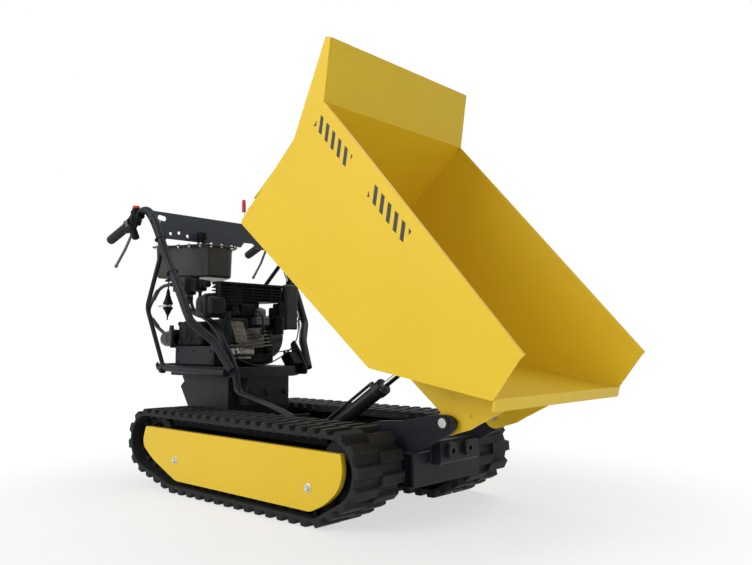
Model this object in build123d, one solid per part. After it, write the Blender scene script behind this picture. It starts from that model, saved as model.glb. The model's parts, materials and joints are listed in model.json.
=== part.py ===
"""Walk-behind tracked site dumper with a hydraulic tipping skip, drawn with the skip tipped.

+X is forward (the side the skip empties to), +Y is left, +Z is up.  The origin is on the
floor below the middle of the machine.  All sizes are in millimetres.
"""
import os
from math import acos, atan2, cos, degrees, hypot, pi, radians, sin

from build123d import *

# Chassis rails, which the tracks stand beside
RAIL_Y = 131.0
RAIL_WEB = 6.0
RAIL_FLANGE = 24.0
RAIL_LOW_Z = 95.0
RAIL_TOP_Z = 190.0
RAIL_REAR_X = -640.0
RAIL_FRONT_X = 440.0

# Tracks
BELT_WIDTH = 180.0
BELT_CLEARANCE = 5.5
TRACK_OUTER_Y = RAIL_Y + RAIL_FLANGE + BELT_CLEARANCE + BELT_WIDTH
CARCASS = 10.0
LUG_HEIGHT = 14.0
LUG_PITCH = 48.0
LUG_FOOT = 0.66
LUG_CREST = 0.44
WHEEL_R = 81.7
WHEEL_WIDTH = 64.0
ROLLER_R = 28.0
ROLLER_COUNT = 5
ROLLER_WIDTH = 66.0
WHEEL_Z = 149.0
SPROCKET_X = -556.0
IDLER_X = 326.0
GROUND_REAR_X = -396.0
GROUND_FRONT_X = 262.0
BELT_FIT = 0.3
AXLE_R = 10.0
ROLLER_AXLE_R = 7.0
SPROCKET_TEETH = 12

# Track frames and side covers
FRAME_PLATE = 5.0
FRAME_TOP_Z = 150.0
FRAME_LOW_Z = 46.0
COVER_INSET = 10.5
COVER_Y = TRACK_OUTER_Y - COVER_INSET
COVER_SHEET = 3.0
COVER_RETURN = 16.0
COVER_BOLT_R = 9.0
COVER_BOLTS = ((-386.0, 102.0), (239.0, 98.0))

# Front plate and cross members
FRONT_PLATE = 8.0
FRONT_OVERLAP = 19.0
BLOCK_DEPTH = 34.0
BOSS_R = 21.0
BOSS_LENGTH = 14.0
BOSS_HOLE_R = 7.0
BOSS_HOLE_DEPTH = 28.0
BOSS_SPACING = 78.0
BOSS_Z = 187.0
CROSS_X = (-345.0, 200.0)
CROSS_SIZE = 46.0
CROSS_Z = 128.0
FIT = 0.2

# Skip, in its own frame: u runs forward along the floor from the rear bottom corner,
# v stands up from the floor
TIP_ANGLE = 38.8
PIVOT_X = 531.6
PIVOT_Z = 270.5
PIVOT_U = 835.0
PIVOT_V = -54.0
SKIP_HALF_WIDTH = 316.0
SKIP_SHEET = 4.0
SKIP_FLOOR_U = 676.0
SKIP_REAR_RADIUS = 12.0
LIP_U, LIP_V = 995.0, 178.0
RIM_FRONT_U, RIM_FRONT_V = 991.0, 304.0
RIM_REAR_U, RIM_REAR_V = 100.0, 451.0
BOARD_U, BOARD_V = 11.0, 602.0
BOARD_TOP = 19.0
BOARD_DROP = 7.0
EAR_U, EAR_V = 57.0, 312.0
LIP_FLANGE = 24.0
HEM = 14.0

# Tipping pivot
ARM_PLATE = 12.0
ARM_Y = RAIL_Y - ARM_PLATE
ARM_EYE_R = 34.0
PIN_R = 12.0
PIN_HEAD_R = 16.0
RUNNING_FIT = 0.08
BRACKET_PLATE = 8.0
BRACKET_GAP = 7.0
BRACKET_Y = ARM_Y - BRACKET_GAP - BRACKET_PLATE
BRACKET_FRONT_U = 972.0

# Tipping cylinder, with s measured along its axis from the base pin
BASE_X, BASE_Z = -130.0, 125.0
ROD_EYE_U, ROD_EYE_V = 592.0, -34.0
BARREL_R = 22.5
BARREL_BORE_R = 16.0
GLAND_R = 26.0
BARREL_START = 32.0
BARREL_END = 405.0
GLAND_LENGTH = 24.0
NECK_R = 12.0
ROD_R = 10.0
EYE_R = 18.0
EYE_WIDTH = 28.0
EYE_PIN_R = 10.0
LUG_PLATE = 9.0
LUG_GAP = 0.4
PIPE_R = 5.0
PIPE_OFFSET = 33.0

# Engine deck and the frame behind the skip
DECK_TOP_Z = 392.0
DECK_SHEET = 5.0
DECK_FLANGE = 35.0
DECK_REAR_X = -706.0
DECK_FRONT_X = -312.0
DECK_HALF_WIDTH = 152.0
DECK_NOSE_HALF_WIDTH = 100.0
DECK_NOSE = 34.0
PEDESTAL_SHEET = 4.0
NOSE_DEPTH = 125.0
BRACKET_SHEET = 6.0
LOOP_R = 12.0
LOOP_Y = DECK_HALF_WIDTH + BRACKET_SHEET + LOOP_R
LOOP_REAR_X = -822.0
BAR_R = 14.0
STRUT_R = 8.0
GRIP_R = 17.0
GRIP_LENGTH = 128.0
SWITCH_PLACE = GRIP_LENGTH + 50
BAR_FOOT_Y = DECK_HALF_WIDTH + BRACKET_SHEET + BAR_R

# Control panel
PANEL_X = -620.0
PANEL_SHEET = 3.0
PANEL_HALF_WIDTH = 304.0
PANEL_LOW_Z = DECK_TOP_Z + 454.0
PANEL_TOP_Z = PANEL_LOW_Z + 94.0

# Hydraulics
TANK_FRONT_X = -545.0
TANK_REAR_X = -752.0
TANK_FRONT_WIDTH = 124.0
TANK_REAR_WIDTH = 300.0
TANK_Y = -58.0
TANK_LOW_Z = DECK_TOP_Z + 321.0
TANK_TOP_Z = TANK_LOW_Z + 119.0
TANK_FLANGE = 5.0
VALVE_X, VALVE_Y = -640.0, -138.0
VALVE_HEIGHT = 56.0
FITTING_LENGTH = 12.0
PUMP_Y, PUMP_Z = -120.0, DECK_TOP_Z + 98.0
HOSE_R = 6.5
HOSE_SPACING = 17.0
BULKHEAD_X, BULKHEAD_Y, BULKHEAD_Z = -40.0, -96.0, 236.0
GUARD_REAR_X = -700.0

# Engine
ENGINE_REAR_X = -592.0
ENGINE_FRONT_X = -400.0
ENGINE_Y = -6.0
CRANKCASE_TOP_Z = DECK_TOP_Z + 168.0
CYLINDER_LOW_Z = DECK_TOP_Z + 78.0
STARTER_Z = DECK_TOP_Z + 106.0
STARTER_R = 80.0
STARTER_DEPTH = 46.0
FIN_COUNT = 8
FIN_PITCH = 11.0
FIN_SHEET = 3.0
TOP_COVER_Z = (DECK_TOP_Z + 230.0, DECK_TOP_Z + 294.0)
FILTER_Z = (DECK_TOP_Z + 165.0, DECK_TOP_Z + 224.0)
SILENCER_Z = (DECK_TOP_Z + 130.0, DECK_TOP_Z + 280.0)
SLAT_COUNT = 4
SLAT_PITCH = 12.0
SLAT_GAP = 5.0


def box(x0, x1, y0, y1, z0, z1):
    """A block between two corners."""
    return Pos((x0 + x1) / 2, (y0 + y1) / 2, (z0 + z1) / 2) * Box(x1 - x0, y1 - y0, z1 - z0)


def rod(start, end, radius):
    """A round bar from one point to another."""
    start, end = Vector(*start), Vector(*end)
    return extrude(Plane(origin=start, z_dir=end - start) * Circle(radius), amount=(end - start).length)


def tube(points, bends, radius):
    """A round bar along straight runs joined by bends."""
    path = FilletPolyline(*points, radius=bends)
    return sweep(Plane(origin=path @ 0, z_dir=path % 0) * Circle(radius), path=path)


def side_plane(y):
    """A plane facing -Y whose own axes are +X and +Z."""
    return Plane(origin=(0, y, 0), x_dir=(1, 0, 0), z_dir=(0, -1, 0))


def side_plate(profile, y0, y1):
    """A profile drawn in X and Z, made solid between two values of Y."""
    return extrude(side_plane(y1) * profile, amount=y1 - y0)


def rounded(points, radii):
    """A closed outline whose corners have the given radii."""
    return make_face(FilletPolyline(*points, radius=radii, close=True))


def polygon(*points):
    """A closed outline with sharp corners."""
    return make_face(Polyline(*points, close=True))


def sheet_profile(points, thickness):
    """The section of a bent sheet that lies to the right of a line of bends."""
    inner = []
    for i, (x, z) in enumerate(points):
        before = points[max(i - 1, 0)]
        after = points[min(i + 1, len(points) - 1)]
        normals = []
        for a, b in ((before, (x, z)), ((x, z), after)):
            run = hypot(b[0] - a[0], b[1] - a[1])
            if run > 0:
                normals.append(((b[1] - a[1]) / run, -(b[0] - a[0]) / run))
        nx = sum(n[0] for n in normals)
        nz = sum(n[1] for n in normals)
        scale = thickness * 2 / (nx * nx + nz * nz) * len(normals) / 2
        inner.append((x + nx * scale, z + nz * scale))
    return polygon(*points, *reversed(inner))


def both_sides(solid):
    """The solid and its mirror image, as right and left."""
    return solid, mirror(solid, about=Plane.XZ)


def pair(solid):
    """The solid and its mirror image in one node."""
    return Compound(children=[*both_sides(solid)[0].solids(), *both_sides(solid)[1].solids()])


# Track geometry

BELT_THICKNESS = CARCASS + LUG_HEIGHT
ROLLER_Z = ROLLER_R + BELT_FIT + BELT_THICKNESS
BELT_Y = TRACK_OUTER_Y - BELT_WIDTH / 2
WHEELS = (
    (SPROCKET_X, WHEEL_Z, WHEEL_R + BELT_FIT),
    (GROUND_REAR_X, ROLLER_Z, ROLLER_R + BELT_FIT),
    (GROUND_FRONT_X, ROLLER_Z, ROLLER_R + BELT_FIT),
    (IDLER_X, WHEEL_Z, WHEEL_R + BELT_FIT),
)


def belt_runs():
    """The belt's inner path as straight runs and arcs, once round from the sprocket."""
    count = len(WHEELS)
    leave, arrive = [0.0] * count, [0.0] * count
    for i, (x, z, r) in enumerate(WHEELS):
        nx, nz, nr = WHEELS[(i + 1) % count]
        span = hypot(nx - x, nz - z)
        angle = atan2(nz - z, nx - x) - acos((r - nr) / span)
        leave[i] = angle
        arrive[(i + 1) % count] = angle
    runs = []
    for i, (x, z, r) in enumerate(WHEELS):
        turn = (leave[i] - arrive[i]) % (2 * pi)
        runs.append(("arc", x, z, r, arrive[i], turn))
        nx, nz, nr = WHEELS[(i + 1) % count]
        a = leave[i]
        runs.append(("line", x + r * cos(a), z + r * sin(a), nx + nr * cos(a), nz + nr * sin(a), a))
    return runs


def run_length(run):
    """The length of one run of the belt path."""
    if run[0] == "arc":
        return run[3] * run[5]
    return hypot(run[3] - run[1], run[4] - run[2])


def belt_point(runs, distance, height):
    """The point at a distance along the belt and a height outside its inner face."""
    distance %= sum(run_length(run) for run in runs)
    for run in runs:
        length = run_length(run)
        if distance <= length:
            break
        distance -= length
    if run[0] == "arc":
        angle = run[4] + distance / run[3]
        reach = run[3] + height
        return run[1] + reach * cos(angle), run[2] + reach * sin(angle)
    share = distance / length
    return (run[1] + (run[3] - run[1]) * share + height * cos(run[5]),
            run[2] + (run[4] - run[2]) * share + height * sin(run[5]))


def belt_inner():
    """The face enclosed by the belt's inner side."""
    edges = []
    for run in belt_runs():
        if run[0] == "arc":
            _, x, z, r, start, turn = run
            edges.append(CenterArc((x, z), r, degrees(start), degrees(turn)))
        else:
            edges.append(Line((run[1], run[2]), (run[3], run[4])))
    return make_face(edges)


def belt_row(shift):
    """The belt's side outline with one lug per pitch, moved along by a share of the pitch."""
    runs = belt_runs()
    total = sum(run_length(run) for run in runs)
    count = round(total / LUG_PITCH)
    pitch = total / count
    points = []
    for i in range(count):
        middle = (i + shift) * pitch
        for offset, height in ((-LUG_FOOT / 2, CARCASS), (-LUG_CREST / 2, BELT_THICKNESS),
                               (LUG_CREST / 2, BELT_THICKNESS), (LUG_FOOT / 2, CARCASS)):
            points.append(belt_point(runs, middle + offset * pitch, height))
    return polygon(*points)


def track_belt():
    """The right rubber track: two rows of lugs, half a pitch apart."""
    inner = belt_inner()
    outer_row = side_plate(belt_row(0) - inner, -TRACK_OUTER_Y, -BELT_Y)
    inner_row = side_plate(belt_row(0.5) - inner, -BELT_Y, -TRACK_OUTER_Y + BELT_WIDTH)
    return outer_row + inner_row


def sprocket():
    """The right driving wheel, toothed at its rim."""
    half = WHEEL_WIDTH / 2
    disc = Circle(WHEEL_R)
    gap = pi * WHEEL_R / SPROCKET_TEETH
    disc -= PolarLocations(WHEEL_R, SPROCKET_TEETH) * RectangleRounded(14, gap * 0.8, 3)
    disc -= PolarLocations(WHEEL_R * 0.55, 6) * Circle(11)
    wheel = Pos(SPROCKET_X, -BELT_Y + half, WHEEL_Z) * Rot(90, 0, 0) * extrude(disc, amount=WHEEL_WIDTH)
    dish = Pos(SPROCKET_X, 0, WHEEL_Z) * Rot(90, 0, 0) * Circle(WHEEL_R - 24)
    hub = rod((SPROCKET_X, -BELT_Y - half, WHEEL_Z), (SPROCKET_X, -BELT_Y + half, WHEEL_Z), 24)
    for side in (-1, 1):
        face_y = -BELT_Y + side * half
        recess = extrude(Pos(0, face_y, 0) * dish, amount=18, dir=(0, -side, 0))
        wheel -= recess
    wheel += hub
    return wheel - rod((SPROCKET_X, -TRACK_OUTER_Y, WHEEL_Z), (SPROCKET_X, 0, WHEEL_Z), AXLE_R + 5)


def idler():
    """The right front wheel with its axle."""
    half = WHEEL_WIDTH / 2
    profile = polygon((0, -half), (WHEEL_R, -half), (WHEEL_R, -half + 16), (WHEEL_R - 18, -half + 22),
                      (WHEEL_R - 18, half - 22), (WHEEL_R, half - 16), (WHEEL_R, half), (0, half))
    wheel = revolve(Plane.XY * profile, Axis.Y)
    wheel = Pos(IDLER_X, -BELT_Y, WHEEL_Z) * wheel
    reach = ROLLER_WIDTH / 2 + 2 * FRAME_PLATE + 3
    axle = rod((IDLER_X, -BELT_Y - reach, WHEEL_Z), (IDLER_X, -BELT_Y + reach, WHEEL_Z), AXLE_R)
    return wheel + axle


def roller_places():
    """The X of each bottom roller."""
    step = (GROUND_FRONT_X - GROUND_REAR_X) / (ROLLER_COUNT - 1)
    return [GROUND_REAR_X + step * i for i in range(ROLLER_COUNT)]


def rollers():
    """The right bottom rollers, each on its axle."""
    solids = []
    half = ROLLER_WIDTH / 2
    for x in roller_places():
        roller = rod((x, -BELT_Y - half, ROLLER_Z), (x, -BELT_Y + half, ROLLER_Z), ROLLER_R)
        reach = half + FRAME_PLATE + 5
        axle = rod((x, -BELT_Y - reach, ROLLER_Z), (x, -BELT_Y + reach, ROLLER_Z), ROLLER_AXLE_R)
        solids.append((roller + axle).solid())
    return Compound(children=solids)


FRAME_GAP = ROLLER_WIDTH / 2 + 2
FRAME_OUTER_Y = BELT_Y + FRAME_GAP + FRAME_PLATE
FRAME_INNER_Y = BELT_Y - FRAME_GAP - FRAME_PLATE


def track_frame():
    """The right channel that carries the rollers and the front wheel."""
    rear_x = SPROCKET_X + WHEEL_R + 8
    front_x = IDLER_X - WHEEL_R - 8
    cheek = rounded(((rear_x, FRAME_TOP_Z), (rear_x, 110), (GROUND_REAR_X - 18, FRAME_LOW_Z - 10),
                     (GROUND_FRONT_X + 18, FRAME_LOW_Z - 10), (IDLER_X + 22, WHEEL_Z - 20),
                     (IDLER_X + 22, WHEEL_Z + 20), (front_x, FRAME_TOP_Z)),
                    (0, 10, 14, 14, 18, 18, 0))
    for x in roller_places():
        cheek -= Pos(x, ROLLER_Z) * Circle(ROLLER_AXLE_R + RUNNING_FIT)
    cheek -= Pos(IDLER_X, WHEEL_Z) * Circle(AXLE_R + RUNNING_FIT)
    frame = side_plate(cheek, -FRAME_OUTER_Y, -FRAME_OUTER_Y + FRAME_PLATE)
    frame += side_plate(cheek, -FRAME_INNER_Y - FRAME_PLATE, -FRAME_INNER_Y)
    frame += box(rear_x, front_x, -FRAME_OUTER_Y, -FRAME_INNER_Y, FRAME_TOP_Z - FRAME_PLATE, FRAME_TOP_Z)
    return frame


def track_cover():
    """The right side cover: a shallow tray with a return all round and two fixing bosses."""
    outline = rounded(((-566, 196), (-590, 128), (-520, 92), (-386, 38), (247, 38), (340, 88),
                       (372, 160), (359, 196)), (14, 34, 40, 14, 14, 34, 16, 10))
    face = side_plate(outline, -COVER_Y, -COVER_Y + COVER_RETURN)
    hollow = offset(outline, amount=-COVER_SHEET)
    face -= side_plate(hollow, -COVER_Y + COVER_SHEET, -COVER_Y + COVER_RETURN + 1)
    for x, z in COVER_BOLTS:
        face += rod((x, -COVER_Y + COVER_SHEET, z), (x, -FRAME_OUTER_Y, z), COVER_BOLT_R)
        face += rod((x, -COVER_Y - 5, z), (x, -COVER_Y, z), 7)
    return face


# Chassis

def chassis_frame():
    """Two channel rails with a floor plate between them."""
    rail_end = RAIL_Y + RAIL_FLANGE
    rail = box(RAIL_REAR_X, RAIL_FRONT_X, -RAIL_Y - RAIL_WEB, -RAIL_Y, RAIL_LOW_Z, RAIL_TOP_Z)
    for z in (RAIL_LOW_Z, RAIL_TOP_Z - RAIL_WEB):
        rail += box(RAIL_REAR_X, RAIL_FRONT_X, -rail_end, -RAIL_Y - RAIL_WEB, z, z + RAIL_WEB)
    rail -= rod((SPROCKET_X, -rail_end, WHEEL_Z), (SPROCKET_X, 0, WHEEL_Z), 38)
    right, left = both_sides(rail)
    floor = box(RAIL_REAR_X, RAIL_FRONT_X, -RAIL_Y, RAIL_Y, RAIL_LOW_Z, RAIL_LOW_Z + RAIL_WEB)
    frame = right + left + floor
    half = CROSS_SIZE / 2
    for x in CROSS_X:
        bar = box(x - half, x + half, -FRAME_INNER_Y, FRAME_INNER_Y, CROSS_Z - half, CROSS_Z + half)
        inner = half - 4
        hollow = box(x - inner, x + inner, -FRAME_INNER_Y, FRAME_INNER_Y, CROSS_Z - inner, CROSS_Z + inner)
        frame += bar - hollow
    return frame + hose_bulkhead()


def front_plate():
    """The plate that closes the chassis, with a block that carries two round bosses."""
    rear = RAIL_FRONT_X
    front = rear + FRONT_PLATE
    half = RAIL_Y + FRONT_OVERLAP
    plate = box(rear, front, -half, half, RAIL_LOW_Z + 4, RAIL_TOP_Z - 4)
    face = front + BLOCK_DEPTH
    block = box(front, face, -78, 96, BOSS_Z - 35, BOSS_Z + 27)
    plate += chamfer(block.edges().filter_by(Axis.Y).sort_by(Axis.X)[-2:], 6)
    tip = face + BOSS_LENGTH
    for y in (-BOSS_SPACING / 2, BOSS_SPACING / 2):
        plate += rod((face, y, BOSS_Z), (tip, y, BOSS_Z), BOSS_R)
        plate -= rod((tip - BOSS_HOLE_DEPTH, y, BOSS_Z), (tip + 1, y, BOSS_Z), BOSS_HOLE_R)
    return plate


def tip_arm():
    """The right arm that rises from the rail to the tipping pivot."""
    rear_x = CROSS_X[1] + CROSS_SIZE / 2 + 8
    front_x = RAIL_FRONT_X - 1
    arm = rounded(((rear_x, RAIL_TOP_Z - 80), (rear_x + 8, RAIL_TOP_Z + 6), (305, 262), (392, 270), (470, 284),
                   (PIVOT_X, PIVOT_Z + ARM_EYE_R - 6), (PIVOT_X + 8, PIVOT_Z - ARM_EYE_R + 8),
                   (477, 206), (front_x, RAIL_TOP_Z), (front_x, RAIL_TOP_Z - 80)),
                  (4, 10, 26, 60, 60, 8, 8, 60, 0, 4))
    arm += Pos(PIVOT_X, PIVOT_Z) * Circle(ARM_EYE_R)
    arm -= Pos(PIVOT_X, PIVOT_Z) * Circle(PIN_R)
    return side_plate(arm, -ARM_Y - ARM_PLATE, -ARM_Y)


def pivot_pin():
    """The right tipping pin, headed outside the arm."""
    outer = -ARM_Y - ARM_PLATE
    pin = rod((PIVOT_X, outer, PIVOT_Z), (PIVOT_X, -BRACKET_Y + 6, PIVOT_Z), PIN_R)
    return pin + rod((PIVOT_X, outer - 7, PIVOT_Z), (PIVOT_X, outer, PIVOT_Z), PIN_HEAD_R)


# Skip

SKIP_PLACE = Pos(PIVOT_X, 0, PIVOT_Z) * Rot(0, TIP_ANGLE, 0) * Pos(-PIVOT_U, 0, -PIVOT_V)


def skip_point(u, v):
    """The X and Z of a point given in the skip's own frame, with the skip tipped."""
    a = radians(TIP_ANGLE)
    du, dv = u - PIVOT_U, v - PIVOT_V
    return PIVOT_X + du * cos(a) + dv * sin(a), PIVOT_Z - du * sin(a) + dv * cos(a)


def slope_v(u):
    """The height of the skip's underside where it slopes up to the lip."""
    return (u - SKIP_FLOOR_U) * LIP_V / (LIP_U - SKIP_FLOOR_U)


def skip_shell():
    """The open steel skip: a bent centre sheet between two side plates, with a headboard."""
    t = SKIP_SHEET
    flange = LIP_FLANGE / hypot(8, 18)
    sheet = sheet_profile(((LIP_U + 8 * flange, LIP_V - 18 * flange), (LIP_U, LIP_V), (SKIP_FLOOR_U, 0),
                           (0, 0), (RIM_REAR_U - t, RIM_REAR_V), (BOARD_U, BOARD_V - t),
                           (BOARD_U - BOARD_TOP, BOARD_V - BOARD_DROP - t)), t)
    lip_cut = SKIP_HALF_WIDTH - t
    shell = side_plate(sheet, -lip_cut, lip_cut)
    cheek = rounded(((0, 0), (SKIP_FLOOR_U, 0), (LIP_U, LIP_V), (RIM_FRONT_U, RIM_FRONT_V),
                     (RIM_REAR_U, RIM_REAR_V), (BOARD_U, BOARD_V),
                     (BOARD_U - BOARD_TOP, BOARD_V - BOARD_DROP), (EAR_U, EAR_V)),
                    (SKIP_REAR_RADIUS, 20, 2, 3, 0, 2, 2, 0))
    hem = sheet_profile(((RIM_FRONT_U, RIM_FRONT_V - HEM), (RIM_REAR_U + HEM / 3, RIM_REAR_V - HEM)), HEM)
    for side in (-1, 1):
        outer = side * SKIP_HALF_WIDTH
        shell += side_plate(cheek, min(outer, outer - side * t), max(outer, outer - side * t))
        folded = outer - side * 2 * t
        shell += side_plate(hem, min(outer, folded), max(outer, folded))
    corner = polygon((0, 0), (SKIP_REAR_RADIUS, 0), (0, SKIP_REAR_RADIUS))
    shell -= side_plate(corner - Pos(SKIP_REAR_RADIUS, SKIP_REAR_RADIUS) * Circle(SKIP_REAR_RADIUS),
                        -SKIP_HALF_WIDTH, SKIP_HALF_WIDTH)
    return SKIP_PLACE * shell


def skip_bracket():
    """The right plate under the skip that turns on the tipping pin."""
    plate = polygon((540, 0), (575, -50), (PIVOT_U - 30, -50), (PIVOT_U, PIVOT_V), (866, -68), (897, -22),
                    (909, 8), (948, 96), (BRACKET_FRONT_U, slope_v(BRACKET_FRONT_U)), (SKIP_FLOOR_U, 0))
    plate += Pos(PIVOT_U, PIVOT_V) * Circle(ARM_EYE_R)
    plate -= Pos(PIVOT_U, PIVOT_V) * Circle(PIN_R + RUNNING_FIT)
    for u, v in ((807, 8), (880, 7)):
        plate -= Pos(u, v) * Circle(5)
    return SKIP_PLACE * side_plate(plate, -BRACKET_Y - BRACKET_PLATE, -BRACKET_Y)


def rod_lug():
    """The right lug under the skip floor, with its stub of the rod pin."""
    inner = -EYE_WIDTH / 2 - LUG_GAP - 0.3
    lug = polygon((556, 0), (572, -34), (612, -34), (628, 0))
    lug += Pos(ROD_EYE_U, ROD_EYE_V) * Circle(20)
    plate = side_plate(lug, inner - LUG_PLATE, inner)
    head = side_plate(Pos(ROD_EYE_U, ROD_EYE_V) * Circle(14), inner - LUG_PLATE - 5, inner - LUG_PLATE)
    return SKIP_PLACE * (plate + head)


# Tipping cylinder

EYE_X, EYE_Z = skip_point(ROD_EYE_U, ROD_EYE_V)
CYLINDER_LENGTH = hypot(EYE_X - BASE_X, EYE_Z - BASE_Z)
CYLINDER_ANGLE = degrees(atan2(EYE_Z - BASE_Z, EYE_X - BASE_X))
CYLINDER_PLACE = Pos(BASE_X, 0, BASE_Z) * Rot(0, -CYLINDER_ANGLE, 0)


def along(start, end, radius):
    """A round bar on the cylinder's own axis."""
    return rod((start, 0, 0), (end, 0, 0), radius)


def cylinder_barrel():
    """The barrel with its base eye, gland, ports and the pipe to the far port."""
    eye = rod((0, -EYE_WIDTH / 2, 0), (0, EYE_WIDTH / 2, 0), EYE_R)
    body = along(8, BARREL_START + 6, NECK_R) + along(BARREL_START, BARREL_END, BARREL_R) + eye
    body += along(BARREL_END - GLAND_LENGTH, BARREL_END, GLAND_R)
    top_port = BARREL_END - GLAND_LENGTH - 14
    for s in (BARREL_START + 26, top_port):
        body += rod((s, 0, 0), (s, 0, BARREL_R + 5), 9)
    start, end = BARREL_START + 26, top_port
    seat = BARREL_R - 4
    body += tube(((start, 0, seat), (start, 0, PIPE_OFFSET), (end, 0, PIPE_OFFSET), (end, 0, seat)), 8, PIPE_R)
    body -= along(BARREL_START + 12, BARREL_END - GLAND_LENGTH, BARREL_BORE_R)
    body -= along(BARREL_END - GLAND_LENGTH - 1, BARREL_END + 1, ROD_R + RUNNING_FIT)
    body -= rod((0, -EYE_WIDTH, 0), (0, EYE_WIDTH, 0), EYE_PIN_R + RUNNING_FIT)
    return CYLINDER_PLACE * body


def cylinder_rod():
    """The chromed rod with its piston, and the eye that carries the middle of the rod pin."""
    piston_end = BARREL_END - GLAND_LENGTH - 14
    body = along(piston_end - 26, CYLINDER_LENGTH - 6, ROD_R)
    body += along(piston_end - 26, piston_end, BARREL_BORE_R - RUNNING_FIT)
    body += rod((CYLINDER_LENGTH, -EYE_WIDTH / 2, 0), (CYLINDER_LENGTH, EYE_WIDTH / 2, 0), EYE_R)
    reach = EYE_WIDTH / 2 + 0.3
    body += rod((CYLINDER_LENGTH, -reach, 0), (CYLINDER_LENGTH, reach, 0), EYE_PIN_R)
    return CYLINDER_PLACE * body


def cylinder_mount():
    """Two lugs on the chassis floor with the base pin between them."""
    floor = RAIL_LOW_Z + RAIL_WEB
    inner = EYE_WIDTH / 2 + LUG_GAP
    cheek = polygon((BASE_X - 34, floor), (BASE_X + 34, floor),
                    (BASE_X + 15, BASE_Z + 10), (BASE_X - 15, BASE_Z + 10))
    cheek += Pos(BASE_X, BASE_Z) * Circle(18)
    mount = side_plate(cheek, -inner - LUG_PLATE, -inner) + side_plate(cheek, inner, inner + LUG_PLATE)
    mount += rod((BASE_X, -inner - LUG_PLATE - 4, BASE_Z), (BASE_X, inner + LUG_PLATE + 4, BASE_Z), EYE_PIN_R)
    return mount


def final_drive():
    """The gearbox between the rails with its output shafts to the driving wheels."""
    case = box(SPROCKET_X - 62, SPROCKET_X + 70, -88, 88, RAIL_LOW_Z + RAIL_WEB, WHEEL_Z + 62)
    case = fillet(case.edges().filter_by(Axis.Y), 18)
    for side in (-1, 1):
        case += rod((SPROCKET_X, side * 80, WHEEL_Z), (SPROCKET_X, side * 160, WHEEL_Z), 37)
        case += rod((SPROCKET_X, side * 150, WHEEL_Z), (SPROCKET_X, side * (BELT_Y + 30), WHEEL_Z), AXLE_R + 5)
    return case


# Engine deck and its frame

DECK_BOTTOM = DECK_TOP_Z - DECK_FLANGE


def engine_deck():
    """The deck plate with flanges folded down along its front and sides."""
    shoulder = DECK_FRONT_X - DECK_NOSE

    def plan(inset):
        w, n = DECK_HALF_WIDTH - inset, DECK_NOSE_HALF_WIDTH - inset
        front = DECK_FRONT_X - inset
        return polygon((DECK_REAR_X, -w), (shoulder, -w), (front, -n),
                       (front, n), (shoulder, w), (DECK_REAR_X, w))

    deck = extrude(Pos(0, 0, DECK_BOTTOM) * plan(0), amount=DECK_FLANGE)
    return deck - extrude(Pos(0, 0, DECK_BOTTOM - 1) * plan(DECK_SHEET), amount=DECK_FLANGE - DECK_SHEET + 1)


def deck_pedestal():
    """The bent plates between the rails and the deck, with a narrower front."""
    t = PEDESTAL_SHEET
    top = DECK_TOP_Z - DECK_SHEET
    foot = max(top - 137, RAIL_TOP_Z + 1)
    cheek = polygon((-656, top), (-656, top - 36), (-645, top - 51), (-668, top - 70), (-620, foot),
                    (-600, RAIL_TOP_Z), (-382, RAIL_TOP_Z), (-378, top - 34), (-378, top))
    y = RAIL_Y + t
    plate = side_plate(cheek, -y, -RAIL_Y) + side_plate(cheek, RAIL_Y, y)
    plate += box(-382, -378, -y, y, RAIL_TOP_Z, top)
    low = top - NOSE_DEPTH
    nose_y = DECK_NOSE_HALF_WIDTH - 10
    for y in (-nose_y, nose_y - t):
        plate += box(-380, -330, y, y + t, low, top)
    plate += box(-330 - t, -330, -nose_y, nose_y, low, top)
    return plate


def guard_loop():
    """The tube round the rear of the deck, from one bar bracket to the other."""
    z = DECK_BOTTOM + 16
    rise = 12
    points = ((-345, -LOOP_Y, z), (-620, -LOOP_Y, z + rise / 2), (LOOP_REAR_X, -LOOP_Y + 12, z + rise),
              (LOOP_REAR_X, LOOP_Y - 12, z + rise), (-620, LOOP_Y, z + rise / 2), (-345, LOOP_Y, z))
    return tube(points, (60, 70, 70, 60), LOOP_R)


def bar_bracket():
    """The right plate that joins the handlebar to the deck."""
    y = -DECK_HALF_WIDTH
    outline = [(x, DECK_TOP_Z + height) for x, height in
               ((-352, -32), (-302, -30), (-300, -7), (-338, 54), (-372, 94), (-392, 78), (-372, 18))]
    plate = rounded(outline, (6, 8, 8, 20, 8, 10, 20))
    return side_plate(plate, y - BRACKET_SHEET, y)


BAR_RISE = ((-312, -BAR_FOOT_Y, -8), (-374, -BAR_FOOT_Y - 28, 88), (-428, -258, 156), (-483, -266, 263),
            (-559, -275, 389),
            (-612, -286, 508), (-656, -299, 566), (-722, -312, 517), (-867, -318, 465))
BAR_POINTS = tuple((x, y, DECK_TOP_Z + height) for x, y, height in BAR_RISE)
BAR_BENDS = (60, 50, 200, 200, 120, 34, 60)


def handlebar():
    """The right handlebar, from the deck bracket up to the grip."""
    return tube(BAR_POINTS, BAR_BENDS, BAR_R)


def strut():
    """The right strut from the handlebar down to the guard loop."""
    top, bend, foot = (DECK_TOP_Z + height for height in (423, 213, -10))
    bar = tube(((-574, -277, top), (-755, -228, bend), (-742, -LOOP_Y + 8, foot)), 60, STRUT_R)
    return (bar - handlebar() - guard_loop()).solids().sort_by(SortBy.VOLUME)[-1]


GRIP_DIR = (Vector(*BAR_POINTS[-1]) - Vector(*BAR_POINTS[-2])).normalized()


def on_grip(distance):
    """A point on the grip's axis at a distance from the end of the bar."""
    return tuple(Vector(*BAR_POINTS[-1]) - GRIP_DIR * distance)


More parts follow.
